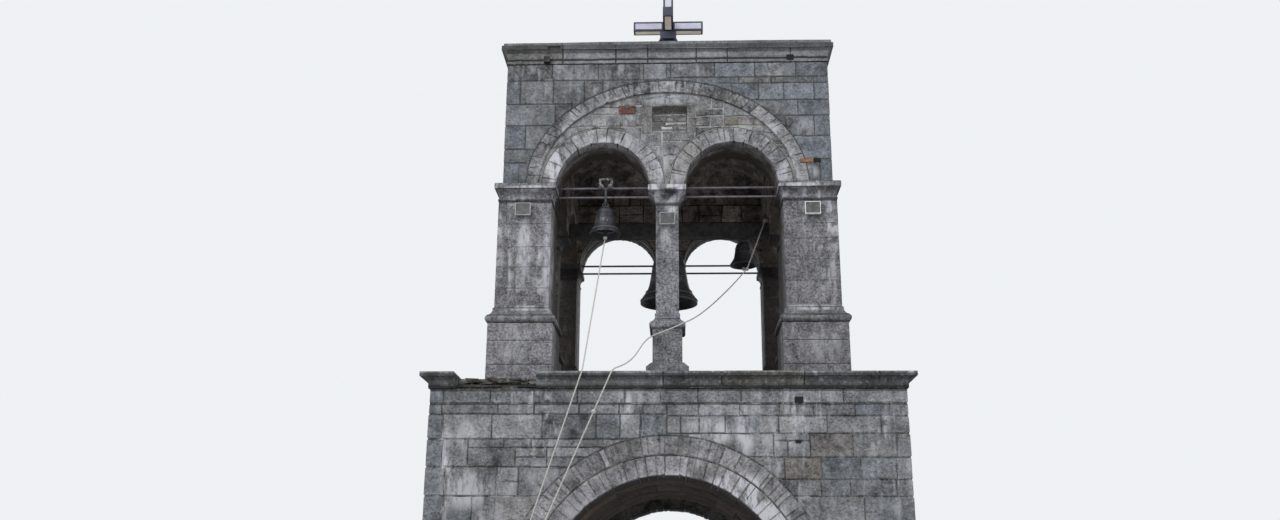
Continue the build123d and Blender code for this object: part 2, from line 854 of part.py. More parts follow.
collar_half = collar_side / 2
collar_top = cross_low - collar_gap
stand = block(-collar_half, collar_half, -collar_half, collar_half, collar_top - collar_height, collar_top)
for turn in (45, 135, 225, 315):
    start = (collar_half, 0, collar_top - collar_height / 2)
    slope = roof_rise / (eaves_half - cap_half)
    foot_out = brace_foot * sqrt(2)
    foot_height = roof_top - (brace_foot - cap_half) * slope
    end = (foot_out, 0, foot_height)
    stand += Rot(0, 0, turn) * rod(start, end, brace_radius)
stand -= block(-half, half, -half, half, cap_top, cross_centre_height)
stand -= roof
pieces["cross_stand"] = stand

# Floodlights

def floodlight(x, drop, face):
    """Slim lamp with a raised rim, on an arm and a plate fixed to the face of the stone."""
    middle = belfry_spring - drop
    hw = lamp_width / 2
    hh = lamp_height / 2
    front = face - lamp_standoff - lamp_depth
    body = block(x - hw, x + hw, front, front + lamp_depth, middle - hh, middle + hh)
    body -= block(
        x - hw + lamp_frame,
        x + hw - lamp_frame,
        front,
        front + lamp_glass_depth,
        middle - hh + lamp_frame,
        middle + hh - lamp_frame,
    )
    plate_half = lamp_plate_side / 2
    arm_x = lamp_arm_width / 2
    arm_z = lamp_arm_height / 2
    back = front + lamp_depth
    plate = block(-plate_half, plate_half, face - lamp_plate, face, -plate_half, plate_half)
    arm = block(-arm_x, arm_x, back, face - lamp_plate, -arm_z, arm_z)
    return body + Pos(x, 0, middle) * (plate + arm)


pier_face = -pier_centre - shaft_half
column_face = -wall_middle - column_y
lamps = [
    floodlight(*lamp_places["left"], pier_face),
    floodlight(*lamp_places["middle"], column_face),
    floodlight(*lamp_places["right"], pier_face),
]
pieces["floodlights"] = Compound(children=lamps)

# Bell ropes and what they are tied to

def rope_bar():
    """Iron staple let into the front wall of the gate, with its bar level."""
    half = rope_bar_width / 2
    wall_y = -tower_half
    bar_y = wall_y - rope_bar_reach
    path = FilletPolyline(
        (-half, wall_y, 0),
        (-half, bar_y, 0),
        (half, bar_y, 0),
        (half, wall_y, 0),
        radius=3 * rope_bar_wire,
    )
    section = Plane(origin=path @ 0, z_dir=path % 0) * Circle(rope_bar_wire)
    return Pos(rope_bar_x, 0, rope_bar_height) * sweep(section, path=path)


def wall_eye():
    """Iron eye in the inner face of the right wall."""
    neck = rod((inner_half, eye_y, eye_height), (eye_x + eye_radius, eye_y, eye_height), eye_wire)
    ring = Rot(90, 0, 0) * Torus(eye_radius, eye_wire)
    return neck + Pos(eye_x, eye_y, eye_height) * ring


eye_x = inner_half - 2 * eye_radius
eye_height = belfry_spring + eye_rise
rope_bar_x = -tower_half + rope_bar_inset
pieces["rope_irons"] = Compound(children=[rope_bar(), wall_eye()])

# The left rope runs tight from the tail of its clapper over the ledge to the bar
bar_y = -tower_half - rope_bar_reach
ledge_front = -tower_half - ledge_reach
left_tail = left_bell_mouth - clapper_tail_reach * left_bell_diameter - tail_grip
right_tail = right_bell_mouth - clapper_tail_reach * right_bell_diameter - tail_grip
left_route = [
    (left_bell_x, -wall_middle, left_tail),
    (-920, ledge_front - 29, ledge_top + 18),
    (rope_bar_x - rope_spacing / 2, bar_y, rope_bar_height),
]

# The upper rope runs tight from the eye to a knot, and the tie from there to the right clapper
three_way_knot = (1063, -120, 5904)
upper_route = [(eye_x, eye_y, eye_height - eye_radius), three_way_knot]
tie_route = [(right_bell_x, bell_beam_y, right_tail), three_way_knot]

# The right rope hangs from the knot round the middle pedestal and over the ledge
right_route = [
    three_way_knot,
    (985, -293, 5776),
    (908, -465, 5650),
    (830, -638, 5527),
    (752, -811, 5407),
    (674, -984, 5290),
    (596, -1156, 5176),
    (518, -1329, 5066),
    (441, -1502, 4962),
    (363, -1675, 4864),
    (285, -1847, 4776),
    (207, -2020, 4700),
    (10, -2052, 4602),
    (-188, -2058, 4528),
    (-262, -2200, 4428),
    (-306, -2320, 4328),
    (-352, -2450, 4221),
    (-412, -2570, 4127),
    (-495, -2680, 4052),
    (-590, ledge_front - 31, ledge_top + 21),
    (rope_bar_x + rope_spacing / 2, bar_y, rope_bar_height),
]


def toward(start, end, distance):
    """Point on the way from one place to another."""
    run = Vector(*end) - Vector(*start)
    return Vector(*start) + run.normalized() * distance


def bend_radii(points):
    """Largest bend that each corner of a route leaves room for."""
    radii = []
    for before, corner, after in zip(points, points[1:], points[2:]):
        run_in = corner - before
        run_out = after - corner
        half_turn = radians(run_in.get_angle(run_out)) / 2
        radii.append(bend_share * min(run_in.length, run_out.length) / tan(half_turn))
    return radii


def rope(route):
    """Round tube along a route, begun and ended inside the knots at its ends."""
    inner = [Vector(*point) for point in route[1:-1]]
    first = toward(route[0], route[1], knot_hold)
    last = toward(route[-1], route[-2], knot_hold)
    points = [first, *inner, last]
    if inner:
        radii = bend_radii(points)
        radii[-1] = min(edge_bend, radii[-1] * edge_bend_share / bend_share)
        path = FilletPolyline(*points, radius=radii)
    else:
        path = Line(first, last)
    section = Plane(origin=path @ 0, z_dir=path % 0) * Circle(rope_diameter / 2)
    return sweep(section, path=path)


def rope_run(start, end):
    """Straight end of a rope inside the knot at its start."""
    return rod(toward(start, end, knot_hold), toward(start, end, 2 * knot_radius), rope_diameter / 2)


def knot(place, *held):
    """Round knot about what it holds."""
    body = Pos(*place) * Sphere(knot_radius)
    for thing in held:
        body -= thing
    return body


def tail_room(x, y, mouth, diameter):
    """Space for the tail of a small clapper in its knot."""
    tail_radius = clapper_tail_share * diameter + seat_gap
    foot = mouth - clapper_tail_reach * diameter
    return rod((x, y, foot - seat_gap), (x, y, mouth), tail_radius)


pieces["rope_left"] = rope(left_route)
pieces["rope_upper"] = rope(upper_route)
pieces["rope_tie"] = rope(tie_route)
pieces["rope_right"] = rope(right_route)

bar_room = rod(
    (rope_bar_x - rope_bar_width, bar_y, rope_bar_height),
    (rope_bar_x + rope_bar_width, bar_y, rope_bar_height),
    rope_bar_wire + seat_gap,
)
eye_room = Rot(90, 0, 0) * Torus(eye_radius, eye_wire + seat_gap)
eye_room = Pos(eye_x, eye_y, eye_height) * eye_room
left_room = tail_room(left_bell_x, -wall_middle, left_bell_mouth, left_bell_diameter)
right_room = tail_room(right_bell_x, bell_beam_y, right_bell_mouth, right_bell_diameter)
ledge_point, right_end = right_route[-2:]
run_knot = Sphere(knot_radius) - Cylinder(rope_diameter / 2, 4 * knot_radius)
run_knot_place = Plane(
    origin=toward(ledge_point, right_end, run_knot_distance),
    z_dir=Vector(*right_end) - Vector(*ledge_point),
)
pieces["rope_knots"] = Compound(children=[
    knot(left_route[0], left_room, rope_run(*left_route[:2])),
    knot(left_route[-1], bar_room, rope_run(left_route[-1], left_route[-2])),
    knot(upper_route[0], eye_room, rope_run(*upper_route)),
    knot(tie_route[0], right_room, rope_run(*tie_route)),
    knot(
        three_way_knot,
        rope_run(three_way_knot, upper_route[0]),
        rope_run(three_way_knot, tie_route[0]),
        rope_run(*right_route[:2]),
    ),
    run_knot_place * run_knot,
    knot(right_end, bar_room, rope_run(right_end, ledge_point)),
])

os.makedirs("parts", exist_ok=True)
for name, shape in pieces.items():
    export_step(shape, f"parts/{name}.step")
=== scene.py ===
"""Stonework, finishes and light of a stone bell tower over an arched gateway."""

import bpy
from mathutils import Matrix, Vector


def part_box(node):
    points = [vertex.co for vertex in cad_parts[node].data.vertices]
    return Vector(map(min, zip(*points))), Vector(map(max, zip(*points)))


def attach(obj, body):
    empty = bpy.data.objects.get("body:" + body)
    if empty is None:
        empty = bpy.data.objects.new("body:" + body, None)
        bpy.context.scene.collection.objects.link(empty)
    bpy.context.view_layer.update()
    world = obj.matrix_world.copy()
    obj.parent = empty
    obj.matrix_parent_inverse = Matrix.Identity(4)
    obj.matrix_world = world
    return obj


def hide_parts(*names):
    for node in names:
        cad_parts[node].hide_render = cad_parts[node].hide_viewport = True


bl_info = {
    "name": "Bell Tower Stonework",
    "version": (1, 0, 0),
    "blender": (4, 5, 0),
    "location": "3D View > Sidebar > Tower",
    "description": "Dresses a bell tower with laid stones, weathered finishes and soft light",
    "category": "Object",
}

from math import cos, pi, radians, sin
from random import Random

import bmesh
import bpy
from mathutils import Matrix, Vector

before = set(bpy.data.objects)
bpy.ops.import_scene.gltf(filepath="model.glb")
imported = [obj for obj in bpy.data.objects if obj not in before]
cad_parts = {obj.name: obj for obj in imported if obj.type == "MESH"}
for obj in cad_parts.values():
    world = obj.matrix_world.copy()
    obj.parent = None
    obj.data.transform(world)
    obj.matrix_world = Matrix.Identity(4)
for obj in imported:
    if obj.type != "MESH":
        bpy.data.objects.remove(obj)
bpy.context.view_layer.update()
BODY = "root"

# Sizes read from the frame
WALL_LOW, WALL_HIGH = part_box("gate_left_wall")
TOWER_HALF = -WALL_LOW.x
GATE_TOP = WALL_HIGH.z
SPANDREL_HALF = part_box("gate_front_spandrel")[1].x
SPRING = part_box("gate_front_spandrel")[0].z
OUTER_RING_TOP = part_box("gate_front_outer_ring")[1].z
BELFRY_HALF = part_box("upper_wall_front")[1].x
INNER_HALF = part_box("upper_wall_right")[0].x
BELFRY_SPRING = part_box("upper_wall_front")[0].z
WALL_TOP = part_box("wall_head")[1].z
CORNICE_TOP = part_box("top_cornice")[1].z
LEDGE_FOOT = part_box("ledge_front")[0].z
LEDGE_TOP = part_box("ledge_front")[1].z
PEDESTAL_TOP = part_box("pedestal_front_left")[1].z

# Painted shadows under the mouldings of the piers and columns: foot, head, and how dark
PIER_PAINTED_SHADOWS = (
    (BELFRY_SPRING - 0.245, BELFRY_SPRING - 0.2, 0.35),
    (BELFRY_SPRING - 0.15, BELFRY_SPRING - 0.065, 0.78),
    (PEDESTAL_TOP - 0.115, PEDESTAL_TOP - 0.09, 0.45),
)

# Heights of the course joints, left and right of the middle line
GATE_COURSES = {
    -1: (0.32, 0.66, 0.94, 1.27, 1.57, 1.92, 2.27, 2.65, 2.96, 3.26, 3.53),
    1: (0.29, 0.6, 0.97, 1.25, 1.57, 1.93, 2.27, 2.654, 2.83, 3.066, 3.32, 3.51),
}
UPPER_COURSES = {
    -1: (6.72, 6.902, 7.215, 7.505, 7.825),
    1: (6.746, 7.05, 7.322, 7.535, 7.765, 7.85),
}
PIER_COURSES = {-1: (5.118, 5.378, 5.629, 5.92), 1: (5.2, 5.459, 5.72, 5.909)}
PEDESTAL_COURSES = (4.189, 4.473)
INNER_COURSES = (6.64, 6.86, 7.09, 7.37, 7.58)

# Upright joints of the front by course: foot, head, places
GATE_UPRIGHTS = {
    -1: (
        (3.53, 3.65, (-2.47, -1.85, -1.45, -0.96, -0.52, -0.26)),
        (3.26, 3.53, (-2.45, -1.91, -1.36, -0.77, -0.51, -0.29)),
        (2.96, 3.26, (-2.43, -2.16)),
        (2.65, 2.96, (-2.4, -1.83, -1.6)),
        (2.27, 2.65, (-2.42, -2.09, -1.84)),
    ),
    1: (
        (3.51, 3.65, (0.35, 0.79, 1.22, 1.59, 2.04, 2.41)),
        (3.32, 3.51, (0.15, 0.35, 0.63, 1.0, 1.21, 1.73, 2.31)),
        (3.066, 3.32, (1.15, 1.54, 2.0, 2.47)),
        (2.83, 3.066, (1.26, 1.65, 2.07, 2.45)),
        (2.654, 2.83, (1.64, 1.95, 2.44)),
        (2.27, 2.654, (2.09,)),
    ),
}
BAND_UPRIGHTS = (-2.46, -1.94, -1.46, -0.98, -0.46, -0.07, 0.34, 0.81, 1.27, 1.92)
UPPER_UPRIGHTS = {
    -1: (
        (7.825, 8.05, (-1.44, -0.86, -0.29)),
        (7.505, 7.825, (-1.83, -1.42, -1.03, -0.8)),
        (7.215, 7.505, (-1.39, -1.18)),
        (6.902, 7.215, (-1.75, -1.43)),
        (6.72, 6.902, (-1.64,)),
        (6.43, 6.72, (-1.82, -1.66)),
    ),
    1: (
        (7.85, 8.05, (0.05, 0.6, 1.1, 1.61)),
        (7.765, 7.85, (0.9, 1.3, 1.83)),
        (7.535, 7.765, (1.14, 1.45, 1.83)),
        (7.322, 7.535, (1.62,)),
        (7.05, 7.322, (1.46, 1.81)),
        (6.43, 6.746, (1.86,)),
    ),
}

# Single joints inside those courses: axis across the joint, its place, and the range it lies in
GATE_SPLITS = (
    ("z", 3.167, -2.16, -0.9), ("x", -1.77, 3.167, 3.26), ("x", -1.47, 3.167, 3.26),
    ("x", -1.64, 2.96, 3.167), ("x", -1.3, 2.96, 3.167), ("z", 3.064, -1.64, -0.9),
    ("z", 2.8, -1.83, -1.3), ("z", 3.24, 0.7, 1.54), ("x", 1.3, 3.066, 3.24),
    ("z", 2.43, -1.84, -1.6),
)
TYMPANUM_SPLITS = (
    ("x", -0.31, 6.43, 7.8), ("x", 0.34, 7.1, 7.8), ("z", 7.205, -1.2, -0.31),
    ("x", -0.93, 7.205, 7.6), ("x", -0.54, 7.205, 7.6), ("z", 7.36, -0.93, -0.54),
    ("z", 7.38, -0.54, -0.31), ("z", 7.486, -0.6, -0.31), ("x", -0.39, 7.38, 7.486),
    ("z", 7.2, 0.34, 1.2), ("x", 0.7, 7.2, 7.6),
    ("z", 7.44, 0.34, 0.7), ("z", 7.07, -0.4, 0.4), ("z", 6.948, -0.4, 0.4),
    ("z", 6.817, -0.4, 0.4), ("z", 6.7, -0.4, 0.4), ("z", 6.6, -0.4, 0.4),
    ("x", 0.05, 6.43, 6.6), ("x", 0.13, 6.948, 7.07), ("x", -0.06, 6.817, 6.948),
    ("x", 0.1, 6.7, 6.817),
)

# Stones with a tone of their own: left, right, foot, head, and slaty, rusty and light shares
TONES = (
    (-2.61, -2.42, 0.0, 3.65, (0.9, 0.2, 0.45)),
    (2.42, 2.61, 0.0, 3.65, (0.8, 0.3, 0.45)),
    (1.26, 1.65, 2.83, 3.066, (0.1, 0.99, 0.25)),
    (1.54, 2.0, 3.066, 3.32, (0.1, 0.96, 0.3)),
    (2.0, 2.47, 3.066, 3.32, (0.2, 0.92, 0.3)),
    (1.65, 2.07, 2.83, 3.066, (0.9, 0.1, 0.25)),
    (2.07, 2.45, 2.83, 3.066, (0.85, 0.1, 0.45)),
    (1.64, 2.44, 2.654, 2.83, (0.85, 0.1, 0.35)),
    (-2.0, -1.83, 6.43, 8.05, (0.95, 0.1, 0.5)),
    (1.83, 2.0, 6.43, 8.05, (0.9, 0.1, 0.4)),
    (-1.83, -1.42, 7.505, 7.825, (0.2, 0.5, 0.85)),
    (1.46, 2.0, 6.746, 7.05, (0.9, 0.1, 0.85)),
    (0.6, 1.1, 7.85, 8.1, (0.9, 0.1, 0.9)),
    (1.1, 2.0, 7.535, 7.765, (0.9, 0.1, 0.75)),
    (-0.6, -0.39, 7.38, 7.486, (0.5, 0.5, 0.5)),
)
PIER_TONES = (
    (-2.5, 0.0, 3.9, 4.95, (0.9, 0.5, 0.8)),
    (0.0, 2.5, 3.9, 4.95, (0.9, 0.5, 0.4)),
    (-2.5, -1.2, 4.95, 6.5, (0.5, 0.5, 0.6)),
    (1.2, 2.5, 4.95, 6.2, (0.1, 0.9, 0.12)),
)
SIDES = ("front", "right", "back", "left")

# Upright joints of the mouldings: axis along the side, which end it lies at, places
LEDGE_JOINTS = (
    (0, -1, (-0.04, 0.6, 1.5, 2.31)), (0, 1, (-1.9, -0.8, 0.2, 1.3, 2.2)),
    (1, -1, (-1.8, -0.7, 0.35, 1.4)), (1, 1, (-1.9, -0.9, 0.3, 1.2, 2.1)),
)
CORNICE_JOINTS = (
    (0, -1, (-1.31, -0.64, -0.24, 0.37, 0.76, 1.55)), (0, 1, (-1.5, -0.8, 0.1, 0.9, 1.6)),
    (1, -1, (-1.4, -0.6, 0.3, 1.2)), (1, 1, (-1.3, -0.5, 0.4, 1.3)),
)
MOULDING_SETTING = {"relief": 0.003, "joint_width": 0.016, "uneven": 0.003, "smallest": 0.0}
LEDGE_DEPTH = 0.34
GIVEN_FROM = 2.3  # the front's courses over this height have their upright joints given
GATE_VOUSSOIRS = (("inner", 42), ("outer", 56))
PASSAGE_STRIPS = 17
RELIEVING_VOUSSOIRS, SMALL_VOUSSOIRS = 38, 19
RELIEVING_HALF, RELIEVING_RISE = 1.55, 1.21
SMALL_ARCH_X = 0.785
NICHE_LEFT_POST, NICHE_RIGHT_POST, NICHE_LINTEL = 0.128, 0.096, 0.096
NICHE_COURSES = (7.21, 7.275, 7.33, 7.4, 7.45)
SLAB_ROW = 0.07
LOOSE_SLABS = 30

# Patches on the front: left, right, foot, head; the hollows are dark plates of painted shadow in
# holes of the wall
GATE_HOLLOWS = ((1.39, 1.485, 3.655, 3.72), (1.385, 1.445, 3.215, 3.25))
WALL_HOLLOWS = ((1.785, 1.87, 6.7, 6.75), (1.5, 1.59, 8.07, 8.15))
RED_BRICKS = ((-0.6, -0.39, 7.38, 7.486),)
ORANGE_BRICKS = ((1.62, 1.78, 6.7, 6.748),)

# Middle of each bell's mouth, and its width
BELLS = (((-0.765, -1.7, 5.89), 0.385), ((1.06, 0.45, 6.14), 0.385), ((0.0, 0.0, 5.465), 0.785))
CLAMP_PLACE = (-0.765, -1.7, 6.57)


class TowerStoneSettings(bpy.types.PropertyGroup):
    """Sizes and colours of the stonework."""

    joint_width: bpy.props.FloatProperty(
        name="Joint width", description="Gap between two laid stones",
        default=0.013, min=0.004, max=0.05, unit="LENGTH",
    )
    stone_relief: bpy.props.FloatProperty(
        name="Stone relief", description="How far a stone stands out of its mortar",
        default=0.009, min=0.001, max=0.03, unit="LENGTH",
    )
    worn_edge: bpy.props.FloatProperty(
        name="Worn edge", description="Width of the rounded edge of a stone",
        default=0.009, min=0.001, max=0.03, unit="LENGTH",
    )
    stone_length: bpy.props.FloatProperty(
        name="Stone length", description="Usual length of a stone in a course",
        default=0.5, min=0.2, max=1.2, unit="LENGTH",
    )
    schist_grey: bpy.props.FloatVectorProperty(
        name="Schist grey", description="Main colour of the laid stones",
        default=(0.228, 0.231, 0.244), size=3, min=0, max=1, subtype="COLOR",
    )
    schist_blue: bpy.props.FloatVectorProperty(
        name="Schist blue", description="Colour of the smoother slaty stones",
        default=(0.182, 0.196, 0.22), size=3, min=0, max=1, subtype="COLOR",
    )
    schist_brown: bpy.props.FloatVectorProperty(
        name="Schist brown", description="Colour of the rusty stones",
        default=(0.24, 0.217, 0.202), size=3, min=0, max=1, subtype="COLOR",
    )
    mortar: bpy.props.FloatVectorProperty(
        name="Mortar", description="Colour of the lime mortar in the joints",
        default=(0.30, 0.295, 0.28), size=3, min=0, max=1, subtype="COLOR",
    )


def settings():
    """The scene's sizes and colours of the stonework."""
    return bpy.context.scene.tower_stone


# Shader node groups

GREY = (0.2, 0.2, 0.2, 1)
SOCKETS = {1: "NodeSocketFloat", 3: "NodeSocketVector", 4: "NodeSocketColor"}
GROUPS = []


def shader_group(name, output="Color", **inputs):
    """Lists a function as the maker of a node group with these inputs and their defaults."""
    def listed(build):
        GROUPS.append((name, output, inputs, build))
        return build

    return listed


def make_group(name, output, inputs, build):
    """Node group with its sockets; an input's kind follows from its default."""
    group = bpy.data.node_groups.new(name, "ShaderNodeTree")
    for label, value in inputs.items():
        kind = SOCKETS[len(value) if isinstance(value, tuple) else 1]
        socket = group.interface.new_socket(
            label.replace("_", " "), in_out="INPUT", socket_type=kind,
        )
        socket.default_value = value
    kind = SOCKETS[4 if output == "Color" else 1]
    group.interface.new_socket(output, in_out="OUTPUT", socket_type=kind)
    given = group.nodes.new("NodeGroupInput").outputs
    end = group.nodes.new("NodeGroupOutput")
    group.links.new(build(group, given), end.inputs[output])


def fill(tree, node, values):
    """Links or sets the inputs of a node."""
    for name, value in values.items():
        if isinstance(value, bpy.types.NodeSocket):
            tree.links.new(value, node.inputs[name])
        else:
            node.inputs[name].default_value = value
    return node


def add(tree, kind, values=None, **options):
    """Node of a kind with its options set and its sockets filled or linked."""
    node = tree.nodes.new(f"ShaderNode{kind}")
    for name, value in options.items():
        setattr(node, name, value)
    return fill(tree, node, values or {})


def use(tree, group, **values):
    """A group placed in a material, its inputs named with underscores for spaces."""
    node = tree.nodes.new("ShaderNodeGroup")
    node.node_tree = bpy.data.node_groups[group]
    fill(tree, node, {name.replace("_", " "): value for name, value in values.items()})
    return node.outputs[0]


def calc(tree, operation, *values, clamp=False):
    """Result of a Math node on two or three values."""
    node = add(
        tree, "Math", dict(enumerate(values)), operation=operation, use_clamp=clamp,
    )
    return node.outputs[0]


def product(tree, *shares):
    """Shares multiplied one after the other, each result kept within nought and one."""
    total = shares[0]
    for share in shares[1:]:
        total = calc(tree, "MULTIPLY", total, share, clamp=True)
    return total


def vector_calc(tree, operation, *values):
    """Node of a Vector Math operation on its values."""
    return add(tree, "VectorMath", dict(enumerate(values)), operation=operation)


def scaled(tree, colour, share):
    """A colour times a number."""
    return add(tree, "VectorMath", {0: colour, 3: share}, operation="SCALE").outputs[0]


def own_place(tree):
    """The object's own coordinates."""
    return add(tree, "TexCoord").outputs["Object"]


def parts_of(tree, vector):
    """X, Y and Z of a vector."""
    return add(tree, "SeparateXYZ", {0: vector}).outputs


def facing_up(tree):
    """How far a face looks up: one on a flat top, minus one on an underside."""
    return parts_of(tree, add(tree, "NewGeometry").outputs["Normal"])["Z"]


def far_out(tree):
    """Distance from the tower's axis, along X or along Y, whichever is more."""
    parts = parts_of(tree, vector_calc(tree, "ABSOLUTE", own_place(tree)).outputs[0])
    return calc(tree, "MAXIMUM", parts["X"], parts["Y"])


def cloud(tree, scale, detail, roughness, place=None):
    """Noise over the given coordinates, or over the object's own."""
    place = own_place(tree) if place is None else place
    values = {"Vector": place, "Scale": scale, "Detail": detail, "Roughness": roughness}
    return add(tree, "TexNoise", values).outputs["Fac"]


def noise(tree, scale, detail=4.0, stretch=(1, 1, 1), offset=(0, 0, 0), roughness=0.55):
    """Noise over the object's own coordinates, stretched and moved."""
    values = {"Vector": own_place(tree), "Location": offset, "Scale": stretch}
    mapped = add(tree, "Mapping", values).outputs[0]
    return cloud(tree, scale, detail, roughness, mapped)


def ramp(tree, value, low, high, out_low=0.0, out_high=1.0):
    """Smooth step of a value between two levels."""
    values = {
        "Value": value, "From Min": low, "From Max": high, "To Min": out_low, "To Max": out_high,
    }
    return add(tree, "MapRange", values, interpolation_type="SMOOTHSTEP").outputs["Result"]


def swing(tree, value, low, high, reach):
    """A value between two levels as a swing about nought."""
    values = {
        "Value": value, "From Min": low, "From Max": high, "To Min": -reach, "To Max": reach,
    }
    return add(tree, "MapRange", values).outputs[0]


def mix(tree, share, first, second, blend="MIX"):
    """Two colours mixed by a share."""
    values = {0: share, 6: first, 7: second}
    return add(tree, "Mix", values, data_type="RGBA", blend_type=blend).outputs[2]


@shader_group(
    "stone_tones", Stone=(0.5, 0.5, 0.5, 1), Main=GREY, Second=GREY, Rusty=GREY,
    Spread=0.3, Speckle=0.3,
)
def stone_tones(tree, given):
    """Colour of a stone: its own tone, clouds, mottling and fine speckle."""
    parts = add(tree, "SeparateColor", {0: given["Stone"]}).outputs
    colour = mix(tree, ramp(tree, parts["Red"], 0.4, 0.85), given["Main"], given["Second"])
    colour = mix(tree, ramp(tree, parts["Green"], 0.8, 0.97), colour, given["Rusty"])
    level = swing(tree, parts["Blue"], 0.0, 1.0, 0.8)
    broad = swing(tree, noise(tree, 1.7, 5), 0.32, 0.68, 0.8)
    mottle = noise(tree, 7.0, 8, offset=(3, 1, 2), roughness=0.7)
    total = calc(tree, "ADD", level, broad)
    total = calc(tree, "ADD", total, swing(tree, mottle, 0.34, 0.66, 1.1))
    shade = calc(tree, "MULTIPLY_ADD", total, given["Spread"], 1.0)
    grain = noise(tree, 42.0, 5, offset=(7, 5, 1), roughness=0.7)
    grain = swing(tree, grain, 0.36, 0.64, 1.0)
    shade = calc(tree, "MULTIPLY", shade, calc(tree, "MULTIPLY_ADD", grain, given["Speckle"], 1.0))
    return scaled(tree, colour, calc(tree, "MAXIMUM", shade, 0.15))


@shader_group("pits", Color=GREY, Amount=0.6, Scale=24.0)
def pits(tree, given):
    """Dark pits and short cracks along the bedding."""
    flat = add(tree, "Mapping", {"Vector": own_place(tree), "Scale": (1, 1, 1.7)}).outputs[0]
    deep = ramp(tree, cloud(tree, given["Scale"], 4.0, 0.6, flat), 0.43, 0.35)
    beds = noise(tree, 9.0, 6, stretch=(0.5, 0.5, 5), offset=(6, 6, 1), roughness=0.65)
    share = calc(tree, "MAXIMUM", deep, ramp(tree, beds, 0.38, 0.33))
    share = product(tree, share, given["Amount"])
    return mix(tree, share, given["Color"], scaled(tree, given["Color"], 0.2))


@shader_group("patch", "Mask", Before=0.0, Centre=(0, 0, 0), Size=(1, 1, 1), Strength=1.0)
def patch(tree, given):
    """Soft oval mask about a place, joined to the mask before it."""
    away = vector_calc(tree, "SUBTRACT", own_place(tree), given["Centre"]).outputs[0]
    away = vector_calc(tree, "DIVIDE", away, given["Size"]).outputs[0]
    length = vector_calc(tree, "LENGTH", away).outputs["Value"]
    mask = calc(tree, "MULTIPLY", ramp(tree, length, 1.0, 0.35), given["Strength"])
    return calc(tree, "MAXIMUM", given["Before"], mask)


@shader_group("inside", Color=GREY, Half=2.0, Reach=0.4, Share=0.4, Soot=(0.75, 0.62, 0.52, 1))
def inside(tree, given):
    """Dims a colour on the faces that lie deep inside the walls, for soot and damp and painted
    shade.
    """
    depth = calc(tree, "SUBTRACT", given["Half"], far_out(tree))
    depth = calc(tree, "DIVIDE", depth, given["Reach"])
    wave = swing(tree, noise(tree, 5.0, 5), 0.3, 0.7, 0.25)
    share = ramp(tree, calc(tree, "ADD", depth, wave), 0.1, 0.9)
    soot = mix(tree, 1.0, given["Color"], given["Soot"], "MULTIPLY")
    return mix(tree, share, given["Color"], scaled(tree, soot, given["Share"]))


@shader_group("painted_shading_band", Color=GREY, Foot=1.0, Head=1.1, Factor=0.3)
def painted_shading_band(tree, given):
    """Painted shade or painted highlight: darkens or lightens a colour between two heights."""
    soft = 0.004
    wave = swing(tree, noise(tree, 5.0, 4), 0.3, 0.7, 0.006)
    height = calc(tree, "ADD", parts_of(tree, own_place(tree))["Z"], wave)
    over = calc(tree, "SUBTRACT", height, given["Foot"])
    under = calc(tree, "SUBTRACT", given["Head"], height)
    share = product(tree, ramp(tree, over, -soft, soft), ramp(tree, under, -soft, soft))
    return mix(tree, share, given["Color"], scaled(tree, given["Color"], given["Factor"]))


@shader_group(
    "run_off", Color=GREY, Lime=(0.45, 0.45, 0.47, 1), Amount=0.5, From_Height=3.8, Reach=1.5,
    Patches=0.0,
)
def run_off(tree, given):
    """Pale lime streaks that run down from a ledge, strongest at its foot."""
    height = parts_of(tree, own_place(tree))["Z"]
    below = calc(tree, "SUBTRACT", given["From Height"], height)
    fade = calc(tree, "DIVIDE", below, given["Reach"])
    broad = noise(tree, 1.3, 3, stretch=(1, 1, 0.35), offset=(5, 2, 0))
    fine = noise(tree, 14.0, 5, stretch=(1, 1, 0.12), offset=(1, 8, 0))
    blot = noise(tree, 8.0, 6, offset=(2, 2, 9), roughness=0.65)
    veil = noise(tree, 11.0, 7, stretch=(1, 1, 0.3), offset=(3, 3, 3), roughness=0.7)
    streak = product(
        tree, ramp(tree, broad, 0.42, 0.6), ramp(tree, fine, 0.44, 0.62),
        ramp(tree, blot, 0.4, 0.62), ramp(tree, fade, 1.0, 0.0), ramp(tree, fade, -0.02, 0.0),
        given["Amount"],
    )
    crust = product(tree, ramp(tree, veil, 0.38, 0.6), given["Patches"])
    share = calc(tree, "MAXIMUM", streak, crust, clamp=True)
    return mix(tree, share, given["Color"], given["Lime"])


@shader_group("lichen", Color=GREY, Crust=(0.4, 0.4, 0.38, 1), Amount=0.4, Scale=30.0)
def lichen(tree, given):
    """Crusts and specks of lichen, light on dark stone or dark on light."""
    spots = ramp(tree, cloud(tree, given["Scale"], 5.0, 0.65), 0.53, 0.62)
    where = ramp(tree, noise(tree, 3.2, 4, offset=(4, 4, 4)), 0.36, 0.62, 0.25, 1.0)
    return mix(tree, product(tree, spots, where, given["Amount"]), given["Color"], given["Crust"])


@shader_group("damp", Color=GREY, Growth=(0.05, 0.055, 0.04, 1), Amount=0.5, Scale=4.0)
def damp(tree, given):
    """Dark growth on ledges and other faces that look up, and in scattered patches."""
    top = ramp(tree, facing_up(tree), 0.3, 0.9)
    patches = ramp(tree, cloud(tree, given["Scale"], 6.0, 0.6), 0.47, 0.66)
    share = product(tree, calc(tree, "MAXIMUM", top, patches), given["Amount"])
    return mix(tree, share, given["Color"], given["Growth"])


@shader_group("rough_face", "Height", Scale=14.0, Fine=0.35)
def rough_face(tree, given):
    """Height of a split or tooled stone face."""
    coarse = cloud(tree, given["Scale"], 7.0, 0.6)
    fine = calc(tree, "MULTIPLY", noise(tree, 120.0, 2, offset=(9, 3, 6)), given["Fine"])
    return calc(tree, "ADD", coarse, fine)


# Finishes

LIME = (0.6, 0.595, 0.635, 1)


